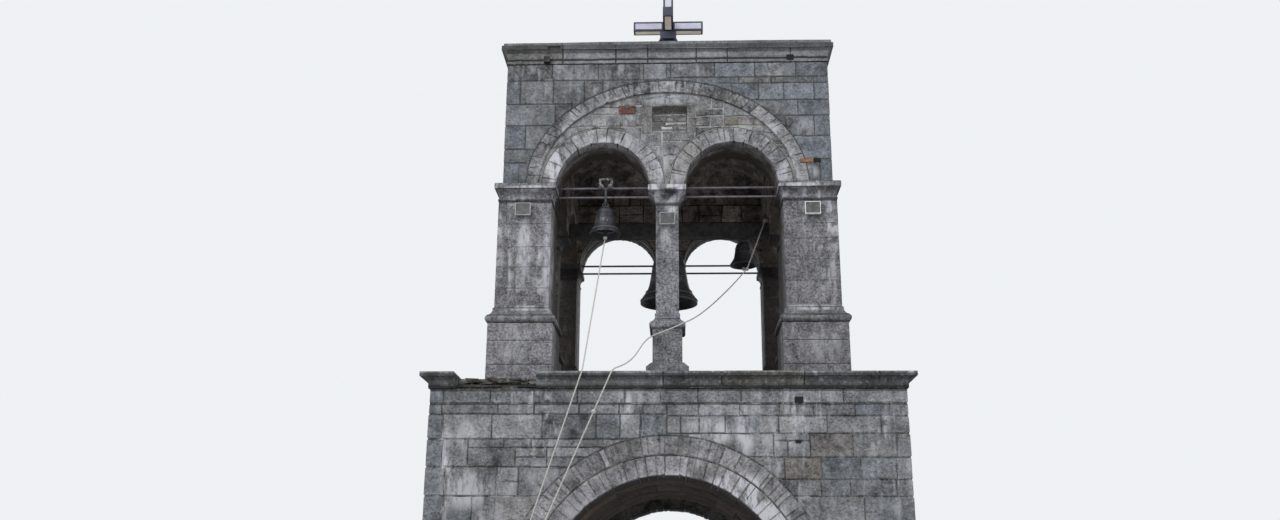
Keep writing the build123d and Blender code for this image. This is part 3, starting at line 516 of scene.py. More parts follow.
def rgba(colour, share=1.0):
    """A colour with its alpha, made lighter or darker."""
    return (colour[0] * share, colour[1] * share, colour[2] * share, 1.0)


def shades(colour, *shares):
    """Several lighter or darker versions of a colour."""
    return [rgba(colour, share)[:3] for share in shares]


def surface(name, roughness=0.8, metallic=0.0):
    """New material with its tree and its shader."""
    material = bpy.data.materials.new(name)
    material.use_nodes = True
    tree = material.node_tree
    shader = tree.nodes["Principled BSDF"]
    shader.inputs["Roughness"].default_value = roughness
    shader.inputs["Metallic"].default_value = metallic
    return material, tree, shader


def link(tree, value, shader, name="Base Color"):
    """Leads a value to an input of the shader."""
    tree.links.new(value, shader.inputs[name])


def bump(tree, shader, height, distance, strength=0.6):
    """Relief of the surface, in metres, from a height."""
    node = add(tree, "Bump", {"Height": height, "Distance": distance, "Strength": strength})
    link(tree, node.outputs["Normal"], shader, "Normal")


def patches_mask(tree, patches):
    """Mask of oval patches, each with its centre, its half sizes and its strength."""
    mask = 0.0
    for centre, size, strength in patches:
        mask = use(tree, "patch", Before=mask, Centre=centre, Size=size, Strength=strength)
    return mask


def stone_material(
    name, main, second, rusty, spread=0.38, speckle=0.42, lime=(0.5, 0.0, 1.0),
    lichen=(0.35, 30.0), crust=(0.4, 0.4, 0.4), damp=0.3, pits=0.65, rough=(14.0, 0.012),
    patches=(), inside=None, painted_bands=(),
):
    """Weathered stone.

    lime is its amount, the height it runs from and its reach; lichen its amount and its scale;
    rough the relief's scale and depth; inside the wall's half width, the reach and the share of
    the dimming by soot and painted shade; each of painted_bands a foot, a head and a factor,
    under one for a painted shadow and over one for a painted highlight.
    """
    _, tree, shader = surface(name, 0.88)
    own = add(tree, "Attribute", attribute_name="stone").outputs["Color"]
    colour = use(
        tree, "stone_tones", Stone=own, Main=rgba(main), Second=rgba(second),
        Rusty=rgba(rusty), Spread=spread, Speckle=speckle,
    )
    colour = use(tree, "pits", Color=colour, Amount=pits)
    colour = use(tree, "damp", Color=colour, Amount=damp, Scale=3.3)
    colour = use(
        tree, "lichen", Color=colour, Crust=rgba(crust), Amount=lichen[0], Scale=lichen[1],
    )
    colour = use(
        tree, "run_off", Color=colour, Lime=LIME, Amount=lime[0], From_Height=lime[1],
        Reach=lime[2], Patches=patches_mask(tree, patches),
    )
    # Soot and painted shade on the faces deep inside the walls
    if inside:
        half, reach, share = inside
        colour = use(tree, "inside", Color=colour, Half=half, Reach=reach, Share=share)
    # Painted shadows and painted highlights in level bands
    for foot, head, factor in painted_bands:
        colour = use(tree, "painted_shading_band", Color=colour, Foot=foot, Head=head, Factor=factor)
    link(tree, colour, shader)
    bump(tree, shader, use(tree, "rough_face", Scale=rough[0], Fine=0.3), rough[1])


def plain_material(name, colour, roughness, metallic=0.0, grain=0.0, scale=30.0):
    """One colour with a little wear in it."""
    _, tree, shader = surface(name, roughness, metallic)
    if not grain:
        shader.inputs["Base Color"].default_value = rgba(colour)
        return
    shade = ramp(tree, noise(tree, scale, 5), 0.35, 0.65)
    link(tree, mix(tree, shade, rgba(colour, 1 - grain), rgba(colour, 1 + grain)), shader)
    wear = noise(tree, scale * 0.4, 4, offset=(1, 2, 3))
    rough = ramp(tree, wear, 0.3, 0.7, max(0.0, roughness - 0.15), min(1.0, roughness + 0.15))
    link(tree, rough, shader, "Roughness")


def on_front(half, *patches):
    """Lime patches on a front face: middle x and z, half width, half height and strength."""
    return [((x, -half, z), (wide, 0.6, tall), share) for x, z, wide, tall, share in patches]


def gate_finishes(own):
    """Stone of the gate storey."""
    stone_material(
        "gate_stone", own.schist_grey, own.schist_blue, own.schist_brown,
        lime=(0.75, LEDGE_FOOT, 2.4), damp=0.25,
        patches=on_front(
            TOWER_HALF, (-2.38, 2.95, 0.09, 0.75, 1.0), (0.46, 3.33, 0.42, 0.2, 0.9),
            (0.84, 3.35, 0.14, 0.4, 0.9), (-0.46, 3.62, 0.12, 0.3, 0.95),
            (1.25, 3.25, 0.4, 0.12, 0.6), (-1.55, 2.75, 0.4, 0.16, 0.4),
            (-1.9, 2.35, 0.3, 0.3, 0.45), (1.95, 2.3, 0.45, 0.25, 0.45),
            (-2.2, 3.3, 0.16, 0.3, 0.5), (0.1, 3.1, 0.3, 0.14, 0.6), (-2.15, 2.72, 0.4, 0.3, 0.75),
            (-1.35, 2.9, 0.3, 0.2, 0.4),
        ),
        # Painted shadows: under the band course, and under the ledge at the band's top
        painted_bands=(
            (GATE_TOP - 0.02, GATE_TOP + 0.003, 0.3), (LEDGE_FOOT - 0.035, LEDGE_FOOT + 0.02, 0.4),
        ),
    )
    stone_material(
        "ring_stone", (0.27, 0.265, 0.278), (0.33, 0.325, 0.342), (0.235, 0.228, 0.228),
        # inside: dimming by soot and painted shade on the faces deep in the wall
        spread=0.4, lime=(0.7, OUTER_RING_TOP, 1.2), damp=0.15, inside=(TOWER_HALF, 0.2, 0.16),
        patches=on_front(
            TOWER_HALF, (0.72, 2.68, 0.42, 0.3, 1.9), (1.05, 2.4, 0.3, 0.35, 1.7),
            (0.1, 2.8, 0.35, 0.15, 0.9), (-0.3, 2.78, 0.3, 0.14, 0.6),
            (-0.9, 2.5, 0.35, 0.25, 0.35), (0.35, 3.0, 0.2, 0.15, 0.6),
        ),
    )


def belfry_finishes():
    """Stone of the belfry, its arches, piers and columns."""
    stone_material(
        "upper_stone", (0.162, 0.17, 0.184), (0.15, 0.166, 0.192), (0.166, 0.164, 0.168),
        spread=0.4, speckle=0.36, lime=(0.4, WALL_TOP, 1.0), lichen=(0.3, 26.0),
        patches=on_front(
            BELFRY_HALF, (1.6, 6.58, 0.3, 0.14, 1.0), (-1.6, 6.55, 0.2, 0.12, 0.5),
            (-1.0, 7.9, 0.5, 0.12, 0.3), (1.7, 7.15, 0.2, 0.2, 0.35),
        ),
    )
    stone_material(
        "rubble_stone", (0.23, 0.228, 0.236), (0.185, 0.19, 0.202), (0.225, 0.2, 0.175),
        spread=0.5, speckle=0.45, lime=(0.6, WALL_TOP, 3.0), lichen=(0.4, 22.0), pits=0.75,
        rough=(14.0, 0.02),
        patches=on_front(
            BELFRY_HALF, (-0.15, 6.75, 0.22, 0.3, 0.7), (1.1, 7.2, 0.3, 0.2, 0.5),
            (-0.5, 7.2, 0.3, 0.3, 0.3), (0.0, 7.62, 0.5, 0.1, 0.5),
        ),
    )
    stone_material(
        "recess_stone", (0.5, 0.485, 0.5), (0.44, 0.43, 0.45), (0.46, 0.43, 0.4), spread=0.4,
        speckle=0.4, lichen=(0.3, 22.0), pits=0.7, rough=(14.0, 0.02),
    )
    stone_material(
        "voussoir_stone", (0.22, 0.218, 0.228), (0.28, 0.277, 0.292), (0.19, 0.183, 0.18),
        spread=0.6, speckle=0.45, lime=(0.6, WALL_TOP, 3.0), damp=0.2, pits=0.7,
        # inside: dimming by soot and painted shade on the faces deep in the wall
        inside=(BELFRY_HALF, 0.35, 0.4),
        patches=on_front(
            BELFRY_HALF, (-1.38, 6.68, 0.2, 0.35, 1.2), (1.45, 6.58, 0.2, 0.22, 0.8),
            (-0.02, 6.62, 0.35, 0.3, 0.8), (-1.22, 7.12, 0.16, 0.16, 0.8),
            (1.28, 7.1, 0.16, 0.16, 0.7), (-0.75, 6.98, 0.45, 0.14, 0.85),
            (-1.15, 6.85, 0.2, 0.2, 0.6),
        ),
    )
    stone_material(
        "pier_ashlar", (0.178, 0.175, 0.19), (0.196, 0.193, 0.208), (0.158, 0.153, 0.158),
        spread=0.32, speckle=0.65, lime=(1.0, BELFRY_SPRING + 0.05, 3.2), lichen=(0.6, 36.0),
        # inside: dimming by soot and painted shade on the faces deep in the wall
        crust=(0.36, 0.355, 0.375), damp=0.25, pits=0.7, inside=(BELFRY_HALF, 0.5, 0.2),
        patches=on_front(
            BELFRY_HALF, (-1.72, 5.6, 0.12, 0.6, 0.75), (-1.42, 5.5, 0.09, 0.8, 0.8),
            (1.95, 5.3, 0.05, 0.7, 0.5), (-1.65, 6.36, 0.4, 0.05, 1.2),
            (1.6, 6.38, 0.45, 0.04, 1.2), (-1.6, 4.87, 0.5, 0.05, 0.9),
            (1.7, 4.87, 0.5, 0.05, 0.9), (1.4, 6.3, 0.1, 0.1, 0.6), (-1.8, 4.4, 0.2, 0.4, 0.4),
            (1.8, 4.4, 0.3, 0.3, 0.4),
        ),
        # Painted shadows under the mouldings
        painted_bands=PIER_PAINTED_SHADOWS,
    )
    stone_material(
        "column_stone", (0.265, 0.265, 0.292), (0.265, 0.265, 0.292), (0.265, 0.265, 0.292),
        spread=0.34, speckle=0.7, lime=(1.0, BELFRY_SPRING + 0.05, 2.6), lichen=(0.6, 40.0),
        # inside: dimming by soot and painted shade on the faces deep in the wall
        crust=(0.34, 0.335, 0.36), damp=0.2, pits=0.75, inside=(BELFRY_HALF, 0.6, 0.25),
        # Painted shadows under the mouldings
        painted_bands=PIER_PAINTED_SHADOWS,
        patches=on_front(
            BELFRY_HALF, (-0.17, 6.36, 0.12, 0.16, 1.4), (0.19, 6.34, 0.1, 0.16, 1.4),
            (0.0, 6.41, 0.3, 0.04, 1.3), (-0.02, 5.8, 0.09, 0.3, 0.5),
            (0.02, 6.22, 0.14, 0.08, 0.7),
        ),
    )


def moulding_finishes():
    """Stone of the ledge, its broken end and the cornice."""
    stone_material(
        "ledge_stone", (0.088, 0.09, 0.092), (0.105, 0.107, 0.11), (0.1, 0.094, 0.082), spread=0.3,
        speckle=0.3, lime=(0.4, LEDGE_TOP, 0.3), lichen=(0.25, 24.0), damp=0.2, pits=0.45,
        # Painted highlight on the top fillet, painted shade under it, painted sheen on the cove,
        # painted shadow at the foot
        painted_bands=(
            (LEDGE_TOP - 0.018, LEDGE_TOP + 0.02, 2.2), (LEDGE_TOP - 0.055, LEDGE_TOP - 0.02, 0.7),
            (LEDGE_TOP - 0.12, LEDGE_TOP - 0.08, 1.5), (LEDGE_FOOT - 0.01, LEDGE_FOOT + 0.03, 0.3),
        ),
    )
    stone_material(
        "broken_stone", (0.17, 0.16, 0.145), (0.2, 0.19, 0.175), (0.17, 0.14, 0.11), spread=0.6,
        speckle=0.5, lichen=(0.4, 22.0), damp=0.4, pits=0.8, rough=(14.0, 0.02),
        # Painted shade along the foot of the ledge
        painted_bands=((LEDGE_FOOT - 0.02, LEDGE_FOOT + 0.07, 0.25),),
    )
    stone_material(
        "cornice_stone", (0.2, 0.208, 0.22), (0.225, 0.233, 0.25), (0.205, 0.2, 0.195),
        spread=0.24, speckle=0.3, lichen=(0.3, 30.0), damp=0.25, pits=0.45,
        # Painted shade on the fillet and the upper cove, painted sheen lower on the cove, and a
        # painted shadow under its lip
        painted_bands=(
            (CORNICE_TOP - 0.054, CORNICE_TOP + 0.02, 0.4),
            (CORNICE_TOP - 0.09, CORNICE_TOP - 0.054, 0.75),
            (CORNICE_TOP - 0.135, CORNICE_TOP - 0.09, 1.3),
            (CORNICE_TOP - 0.185, CORNICE_TOP - 0.155, 0.15),
        ),
    )


def hidden_finishes():
    """Stone and plaster of the inner walls, the vaults and the roof."""
    stone_material(
        "back_wall_stone", (0.36, 0.31, 0.27), (0.29, 0.255, 0.23), (0.36, 0.28, 0.21), spread=0.5,
        speckle=0.4, lichen=(0.3, 20.0), crust=(0.34, 0.32, 0.28), pits=0.8,
    )
    stone_material(
        "soffit_stone", (0.122, 0.084, 0.06), (0.095, 0.072, 0.056), (0.14, 0.088, 0.055),
        spread=0.5, speckle=0.4, lime=(0.3, 9.0, 9.0), lichen=(0.25, 20.0),
        crust=(0.2, 0.19, 0.17), pits=0.7,
    )
    stone_material(
        "vault_plaster", (0.42, 0.375, 0.335), (0.35, 0.32, 0.29), (0.38, 0.31, 0.25), spread=0.5,
        speckle=0.4, lichen=(0.3, 12.0), crust=(0.1, 0.09, 0.08), pits=0.6,
    )
    stone_material(
        "slab_stone", (0.14, 0.147, 0.156), (0.165, 0.165, 0.17), (0.15, 0.14, 0.125), spread=0.3,
        lichen=(0.5, 18.0), damp=0.2,
    )


def mortar_finishes(mortar):
    """Mortar between the stones, paler or darker by place."""
    stone_material(
        "gate_mortar", *shades(mortar, 0.42, 0.36, 0.4),
        spread=0.6, lime=(0.9, LEDGE_FOOT, 3.0), damp=0.5, pits=0.8, rough=(30.0, 0.004),
        patches=on_front(TOWER_HALF, (-2.4, 2.9, 0.14, 0.8, 1.3), (-1.8, 2.6, 0.4, 0.4, 0.6)),
    )
    stone_material(
        "pale_mortar", *shades(mortar, 1, 0.9, 0.8), spread=0.45,
        lime=(0.3, LEDGE_FOOT, 3.0), damp=0.75, pits=0.8, rough=(30.0, 0.004),
    )
    stone_material(
        "arch_mortar", *shades(mortar, 0.3, 0.3, 0.3),
        # inside: dimming by soot and painted shade on the faces deep in the wall
        spread=0.5, damp=0.4, pits=0.6, rough=(30.0, 0.004), inside=(BELFRY_HALF, 0.35, 0.2),
    )
    stone_material(
        "dark_mortar", *shades(mortar, 0.1, 0.1, 0.1),
        spread=0.4, damp=0.5, rough=(30.0, 0.003),
    )
    stone_material(
        "earth_mortar", (0.1, 0.09, 0.075), (0.08, 0.075, 0.065), (0.12, 0.09, 0.06), spread=0.45,
        damp=0.4, rough=(22.0, 0.012),
    )


def repair_finishes():
    """Dressed stone of the niche's frame and the two bricks let into the wall."""
    stone_material(
        "dressed_stone", (0.185, 0.187, 0.195), (0.17, 0.174, 0.184), (0.17, 0.165, 0.16),
        spread=0.2, lime=(0.3, WALL_TOP, 3.0), lichen=(0.3, 30.0), damp=0.15,
        patches=on_front(BELFRY_HALF, (0.0, 7.55, 0.5, 0.07, 0.6)),
    )
    stone_material(
        "red_brick", (0.2, 0.085, 0.06), (0.17, 0.09, 0.07), (0.24, 0.11, 0.07), spread=0.35,
        lichen=(0.35, 26.0), pits=0.7,
    )
    stone_material(
        "orange_brick", (0.4, 0.2, 0.1), (0.36, 0.19, 0.11), (0.42, 0.22, 0.12), spread=0.3,
        lichen=(0.3, 30.0),
    )


def bell_bronze_finish():
    """Dark bronze with light beads and a speckled band round each bell."""
    _, tree, shader = surface("cast_bronze", 0.5, 0.3)
    shade = ramp(tree, noise(tree, 12.0, 6, roughness=0.65), 0.34, 0.66)
    colour = mix(tree, shade, (0.022, 0.023, 0.026, 1), (0.055, 0.057, 0.064, 1))
    fleck = ramp(tree, noise(tree, 60.0, 4, offset=(2, 5, 1)), 0.55, 0.62)
    for (x, y, foot), size in BELLS:
        band = use(tree, "patch", Centre=(x, y, foot + 0.42 * size), Size=(3, 3, 0.1 * size))
        near = use(tree, "patch", Centre=(x, y, foot + 0.5 * size), Size=(0.6, 0.6, size))
        share = product(tree, band, fleck, near)
        colour = mix(tree, share, colour, (0.24, 0.235, 0.225, 1))
        bead = use(tree, "patch", Centre=(x, y, foot + 0.16 * size), Size=(3, 3, 0.03 * size))
        colour = mix(tree, product(tree, bead, near), colour, (0.17, 0.17, 0.185, 1))
    link(tree, colour, shader)
    bump(tree, shader, noise(tree, 40.0, 5), 0.002)


def rod_finish():
    """Iron of the rods, with the flaking paint of the clamp at the left bell."""
    _, tree, shader = surface("rod_iron", 0.6, 0.3)
    shade = ramp(tree, noise(tree, 14.0, 5), 0.35, 0.65)
    colour = mix(tree, shade, (0.11, 0.1, 0.125, 1), (0.2, 0.185, 0.225, 1))
    clamp = use(tree, "patch", Centre=CLAMP_PLACE, Size=(0.2, 0.3, 0.13), Strength=1.5)
    colour = mix(tree, product(tree, clamp, 1.0), colour, (0.05, 0.047, 0.05, 1))
    flake = noise(tree, 26.0, 6, offset=(4, 1, 2), roughness=0.7)
    share = product(tree, clamp, ramp(tree, flake, 0.5, 0.58))
    link(tree, mix(tree, share, colour, (0.28, 0.275, 0.27, 1)), shader)
    bump(tree, shader, noise(tree, 60.0, 5), 0.002)


def cross_light_finish():
    """Translucent panels: lilac white, and beige with a painted glow, standing for daylight
    through the box, on the faces that look down.
    """
    _, tree, shader = surface("cross_light", 0.45)
    down = ramp(tree, facing_up(tree), -0.5, -0.9)
    shade = ramp(tree, noise(tree, 5.0, 4), 0.3, 0.7)
    lilac = mix(tree, shade, (0.56, 0.55, 0.7, 1), (0.74, 0.73, 0.84, 1))
    beige = mix(tree, shade, (0.36, 0.31, 0.26, 1), (0.5, 0.45, 0.39, 1))
    # Painted light: beige colour and a painted glow on the faces that look down
    link(tree, mix(tree, down, lilac, beige), shader)
    link(tree, beige, shader, "Emission Color")
    link(tree, ramp(tree, down, 0.0, 1.0, 0.0, 0.55), shader, "Emission Strength")


def lamp_finish():
    """Painted lamp cases, grey on the left and in the middle and white on the right."""
    _, tree, shader = surface("lamp_case", 0.45, 0.1)
    right = ramp(tree, parts_of(tree, own_place(tree))["X"], 1.0, 1.1)
    shade = ramp(tree, noise(tree, 25.0, 5), 0.35, 0.65)
    grey = mix(tree, shade, (0.24, 0.245, 0.25, 1), (0.42, 0.425, 0.43, 1))
    white = mix(tree, shade, (0.66, 0.66, 0.66, 1), (0.85, 0.85, 0.86, 1))
    link(tree, mix(tree, right, grey, white), shader)


def wall_mortar(mortar):
    """Mortar of the upper walls: dark on their outer face, pale in the sunk part."""
    _, tree, shader = surface("wall_mortar", 0.9)
    outer = ramp(tree, far_out(tree), BELFRY_HALF - 0.022, BELFRY_HALF - 0.016)
    shade = swing(tree, noise(tree, 6.0, 7, roughness=0.7), 0.3, 0.7, 0.6)
    colour = mix(tree, outer, rgba(mortar, 1.15), rgba(mortar, 0.2))
    colour = scaled(tree, colour, calc(tree, "ADD", shade, 1.0))
    colour = use(tree, "pits", Color=colour, Amount=0.7)
    # Soot and painted shade on the faces deep inside the walls
    colour = use(tree, "inside", Color=colour, Half=BELFRY_HALF, Reach=0.5, Share=0.2)
    link(tree, colour, shader)
    bump(tree, shader, use(tree, "rough_face", Scale=30.0, Fine=0.3), 0.004)


# Name, colour, roughness, metallic share, and how much grain of what scale
PLAIN_FINISHES = (
    ("black_iron", (0.035, 0.034, 0.036), 0.65, 0.4, 0.3, 20),
    ("old_timber", (0.05, 0.045, 0.044), 0.85, 0.0, 0.35, 16),
    ("cross_paint", (0.05, 0.058, 0.085), 0.45, 0.2, 0.15, 10),
    ("lamp_glass", (0.1, 0.105, 0.1), 0.55, 0.0, 0.3, 18),
    # hollow: a dark plate that paints the shadow in a hole
    ("hollow_painted_shadow", (0.012, 0.011, 0.01), 0.95, 0.0, 0.0, 30),
    ("rope_fibre", (0.56, 0.54, 0.5), 0.9, 0.0, 0.15, 60),
)


def make_materials():
    """All finishes of the tower, by name."""
    for parts in GROUPS:
        make_group(*parts)
    own = settings()
    gate_finishes(own)
    belfry_finishes()
    moulding_finishes()
    hidden_finishes()
    mortar_finishes(own.mortar)
    repair_finishes()
    wall_mortar(own.mortar)
    bell_bronze_finish()
    rod_finish()
    lamp_finish()
    cross_light_finish()
    for finish in PLAIN_FINISHES:
        plain_material(*finish)


def paint_mesh(piece, material):
    """Gives a piece one finish."""
    piece.data.materials.clear()
    piece.data.materials.append(bpy.data.materials[material])


def paint_nodes(material, *nodes):
    """Gives the tower's own solids one finish."""
    for node in nodes:
        paint_mesh(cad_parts[node], material)


# Laying stones

AXES = ((1, 0, 0), (0, 1, 0), (0, 0, 1))
NEAR = 0.01  # a face this close to a plane lies on it
FACING = 0.9  # a normal with more than this along an axis faces along it
SAME_PLACE = 0.0005  # points this close to a cut lie on it
USUAL_COURSE = 0.28  # height of the course in which a stone has its usual length
ALIGNED, STAGGER = 0.07, 0.11  # joints this close line up, and the step that parts them
PATCH_FRONT, PATCH_BACK = 0.018, 0.001  # how far a patch's two faces stand off its wall


def once(items):
    """Each item one time, in the order they come, so that every run is the same."""
    return list(dict.fromkeys(items))


def any_face(face):
    """Every face."""
    return True


def left_half(face):
    """Faces left of the middle line."""
    return face.calc_center_median().x < 0


def right_half(face):
    """Faces right of the middle line."""
    return face.calc_center_median().x > 0


def front_of(half):
    """The faces of one half that look to the front."""
    return lambda face: face.normal.y < -FACING and half(face)


def not_front(half):
    """The faces of one half that look elsewhere."""
    return lambda face: face.normal.y > -FACING and half(face)


HALVES = ((-1, left_half), (1, right_half))


def skin_of(nodes, seen):
    """Faces of CAD nodes that show, as one mesh with flat faces whole."""
    bm = bmesh.new()
    for node in nodes:
        bm.from_mesh(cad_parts[node].data)
    bm.normal_update()
    hidden = [face for face in bm.faces if not seen(face.calc_center_median(), face.normal)]
    bmesh.ops.delete(bm, geom=hidden, context="FACES")
    bmesh.ops.remove_doubles(bm, verts=bm.verts, dist=0.0003)
    bmesh.ops.dissolve_limit(bm, angle_limit=radians(0.5), verts=bm.verts, edges=bm.edges)
    bm.edges.layers.int.new("joint")
    return bm


def bisect(bm, faces, point, normal):
    """Cuts faces by a plane, marks the new edges as joints and gives them."""
    joint = bm.edges.layers.int["joint"]
    edges = once(edge for face in faces for edge in face.edges)
    verts = once(vert for face in faces for vert in face.verts)
    made = bmesh.ops.bisect_plane(
        bm, geom=[*faces, *edges, *verts], dist=SAME_PLACE, plane_co=point, plane_no=normal,
    )
    edges = [item for item in made["geom_cut"] if isinstance(item, bmesh.types.BMEdge)]
    for edge in edges:
        edge[joint] = 1
    return edges


def cut(bm, chosen, point, normal):
    """Cuts the chosen faces by a plane."""
    faces = [face for face in bm.faces if chosen(face)]
    if faces:
        bisect(bm, faces, point, normal)


def joint_at(bm, chosen, axis, place):
    """Joint square to an axis, at a place along it."""
    cut(bm, chosen, (place, place, place), AXES[axis])


def lay_beds(bm, heights, chosen):
    """Level joints at the given heights."""
    for height in heights:
        joint_at(bm, chosen, 2, height)


def extent(faces, axis):
    """Least and greatest place of some faces along an axis."""
    places = [vert.co[axis] for face in faces for vert in face.verts]
    return min(places), max(places)


def lay_uprights(bm, heights, chosen, length, random, quoin=(0.3, 0.55)):
    """Upright joints of each course, staggered, with long and short stones at the ends."""
    levels = sorted(heights)
    for axis in (0, 1):
        before = []
        for number, (low, high) in enumerate(zip(levels, levels[1:])):
            def in_course(face):
                middle = face.calc_center_median()
                across = abs(face.normal[axis]) < 0.5 and abs(face.normal.z) < FACING
                return across and low < middle.z < high and chosen(face)

            faces = [face for face in bm.faces if in_course(face)]
            if not faces:
                continue
            start, end = extent(faces, axis)
            swap = (number + axis) % 2
            places = [start + quoin[swap] * random.uniform(0.9, 1.1)]
            stop = end - quoin[1 - swap] * random.uniform(0.9, 1.1)
            stone = length * min(1.4, max(0.7, (high - low) / USUAL_COURSE))
            while stop - places[-1] > 1.45 * stone:
                place = places[-1] + stone * random.uniform(0.65, 1.4)
                if any(abs(place - old) < ALIGNED for old in before):
                    place += STAGGER
                places.append(place)
            places.append(stop)
            before = places
            for place in places:
                if start + 0.1 < place < end - 0.1:
                    joint_at(bm, in_course, axis, place)


def lay_given(bm, rows, chosen):
    """Upright joints at given places in given courses."""
    for foot, head, places in rows:
        def in_course(face):
            return foot < face.calc_center_median().z < head and chosen(face)

        for place in places:
            joint_at(bm, in_course, 0, place)


def lay_splits(bm, splits, chosen):
    """Single joints, each only through the stones that it crosses."""
    for letter, place, low, high in splits:
        axis = "xyz".index(letter)

        def crossed(face):
            start, end = extent([face], axis)
            along = face.calc_center_median()[2 - axis]
            return low < along < high and start < place < end and chosen(face)

        joint_at(bm, crossed, axis, place)


def lay_round(bm, joints):
    """Upright joints of a moulding on its sides: axis along one, which end, places."""
    for axis, sign, places in joints:
        def on_side(face):
            middle = face.calc_center_median()
            return middle[1 - axis] * sign > abs(middle[axis]) * 0.98

        for place in places:
            joint_at(bm, on_side, axis, place)


def lay_rubble(bm, chosen, largest, random, tilt=0.12, long=1.7):
    """Irregular joints: each face is parted again and again until its stones are small."""
    waiting = [face for face in bm.faces if chosen(face)]
    while waiting:
        face = waiting.pop()
        if face.calc_area() < largest * random.uniform(0.6, 1.6):
            continue
        axis = 0 if abs(face.normal.x) < 0.7 else 1
        left, right = extent([face], axis)
        foot, head = extent([face], 2)
        share = random.uniform(0.36, 0.64)
        lean = random.uniform(-tilt, tilt)
        across = left + (right - left) * share
        point = Vector((across, across, foot + (head - foot) * share))
        normal = Vector((0, 0, 1))
        if right - left > long * (head - foot):
            normal = Vector((0, 0, lean))
            normal[axis] = 1
        else:
            normal[axis] = lean * 0.6
        edges = bisect(bm, [face], point, normal)
        waiting.extend(once(face for edge in edges for face in edge.link_faces))


def lay_rays(bm, chosen, centre, count, random, jitter=0.25):
    """Joints that run out from the centre of an arch."""
    step = pi / count
    for number in range(1, count):
        turn = step * (number + random.uniform(-jitter, jitter))
        cut(bm, chosen, centre, Vector((-sin(turn), 0, cos(turn))))


def join_slivers(bm, smallest):
    """Gives a very small piece of stone to its neighbour."""
    joint = bm.edges.layers.int["joint"]
    for face in bm.faces:
        if face.calc_area() < smallest:
            marked = [edge for edge in face.edges if edge[joint]]
            if marked:
                max(marked, key=lambda edge: edge.calc_length())[joint] = 0


def islands(bm):
    """Groups of faces that hang together, one for each stone, in the mesh's own order."""
    taken = set()
    for first in bm.faces:
        if first in taken:
            continue
        taken.add(first)
        group = [first]
        for face in group:
            for edge in face.edges:
                for other in edge.link_faces:
                    if other not in taken:
                        taken.add(other)
                        group.append(other)
        yield group


def area_of(faces):
    """Area of some faces together."""
    return sum(face.calc_area() for face in faces)


def drop_thin(bm, narrowest):
    """Leaves mortar in place of a stone that is narrower than its own worn edges."""
    thin = []
    for group in islands(bm):
        rim = once(edge for face in group for edge in face.edges if edge.is_boundary)
        if 2 * area_of(group) < narrowest * sum(edge.calc_length() for edge in rim):
            thin.extend(group)
    bmesh.ops.delete(bm, geom=thin, context="FACES")


def drop_folded(bm, facing):
    """Takes out the faces that an inset has turned over at a sharp corner."""
    bm.normal_update()
    folded = [face for face in bm.faces if face.normal.dot(face[facing]) < 0.05]
    bmesh.ops.delete(bm, geom=folded, context="FACES")


def anywhere(random, reach):
    """Random step of up to a reach along each axis."""
    return Vector([random.uniform(-reach, reach) for axis in range(3)])


def random_tone(random):
    """Slaty, rusty and light shares of a stone, as a colour."""
    return (random.random(), random.random(), random.random(), 1)


def roughen(bm, random, wander, spacing=0.11):
    """Makes the outline of each stone wander a little in its own face."""
    if not wander:
        return
    by_cuts = {}
    for edge in bm.edges:
        length = edge.calc_length()
        if edge.is_boundary and length > 1.6 * spacing:
            by_cuts.setdefault(min(12, int(length / spacing)), []).append(edge)
    for cuts, edges in sorted(by_cuts.items()):
        bmesh.ops.subdivide_edges(bm, edges=edges, cuts=cuts)
    for vert in bm.verts:
        if vert.is_boundary and len(vert.link_faces) == 1:
            normal = vert.link_faces[0].normal
            push = anywhere(random, wander)
            vert.co += push - normal * push.dot(normal)


def tint_faces(faces, tint, tone):
    """Writes a tone to every corner of some faces."""
    for face in faces:
        for loop in face.loops:
            loop[tint] = tone


def raise_stones(
    bm, random, relief=None, joint_width=None, uneven=0.003, wander=0.0, tones=(),
    smallest=0.006,
):
    """Parts the stones at their joints and lifts each one out of the mortar."""
    own = settings()
    relief = own.stone_relief if relief is None else relief
    joint_width = own.joint_width if joint_width is None else joint_width
    joint = bm.edges.layers.int["joint"]
    join_slivers(bm, smallest)
    bmesh.ops.split_edges(bm, edges=[edge for edge in bm.edges if edge[joint]])
    drop_thin(bm, joint_width + 2.2 * own.worn_edge)
    bmesh.ops.triangulate(bm, faces=bm.faces[:])
    facing = bm.faces.layers.float_vector.new("facing")
    for face in bm.faces:
        face[facing] = face.normal
    gap = bmesh.ops.inset_region(
        bm, faces=bm.faces[:], thickness=joint_width / 2, use_boundary=True,
        use_even_offset=False,
    )
    bmesh.ops.delete(bm, geom=gap["faces"], context="FACES")
    drop_folded(bm, facing)
    roughen(bm, random, wander)
    bmesh.ops.inset_region(
        bm, faces=bm.faces[:], thickness=own.worn_edge, depth=relief, use_boundary=True,
        use_even_offset=False,
    )
    drop_folded(bm, facing)
    tint = bm.loops.layers.color.new("stone")
    for group in islands(bm):
        tone = random_tone(random)
        middle = sum((face.calc_center_median() for face in group), Vector()) / len(group)
        for left, right, foot, head, given in tones:
            if left < middle.x < right and foot < middle.z < head:
                tone = (*given, 1)
        tint_faces(group, tint, tone)
        # A stone that goes all the way round its pier has no one way out, and stays
        outward = sum((face.normal * face.calc_area() for face in group), Vector())
        if outward.length > 0.4 * area_of(group):
            inner = once(vert for face in group for vert in face.verts if not vert.is_boundary)
            shift = outward.normalized() * random.uniform(-uneven, uneven)
            bmesh.ops.translate(bm, verts=inner, vec=shift)


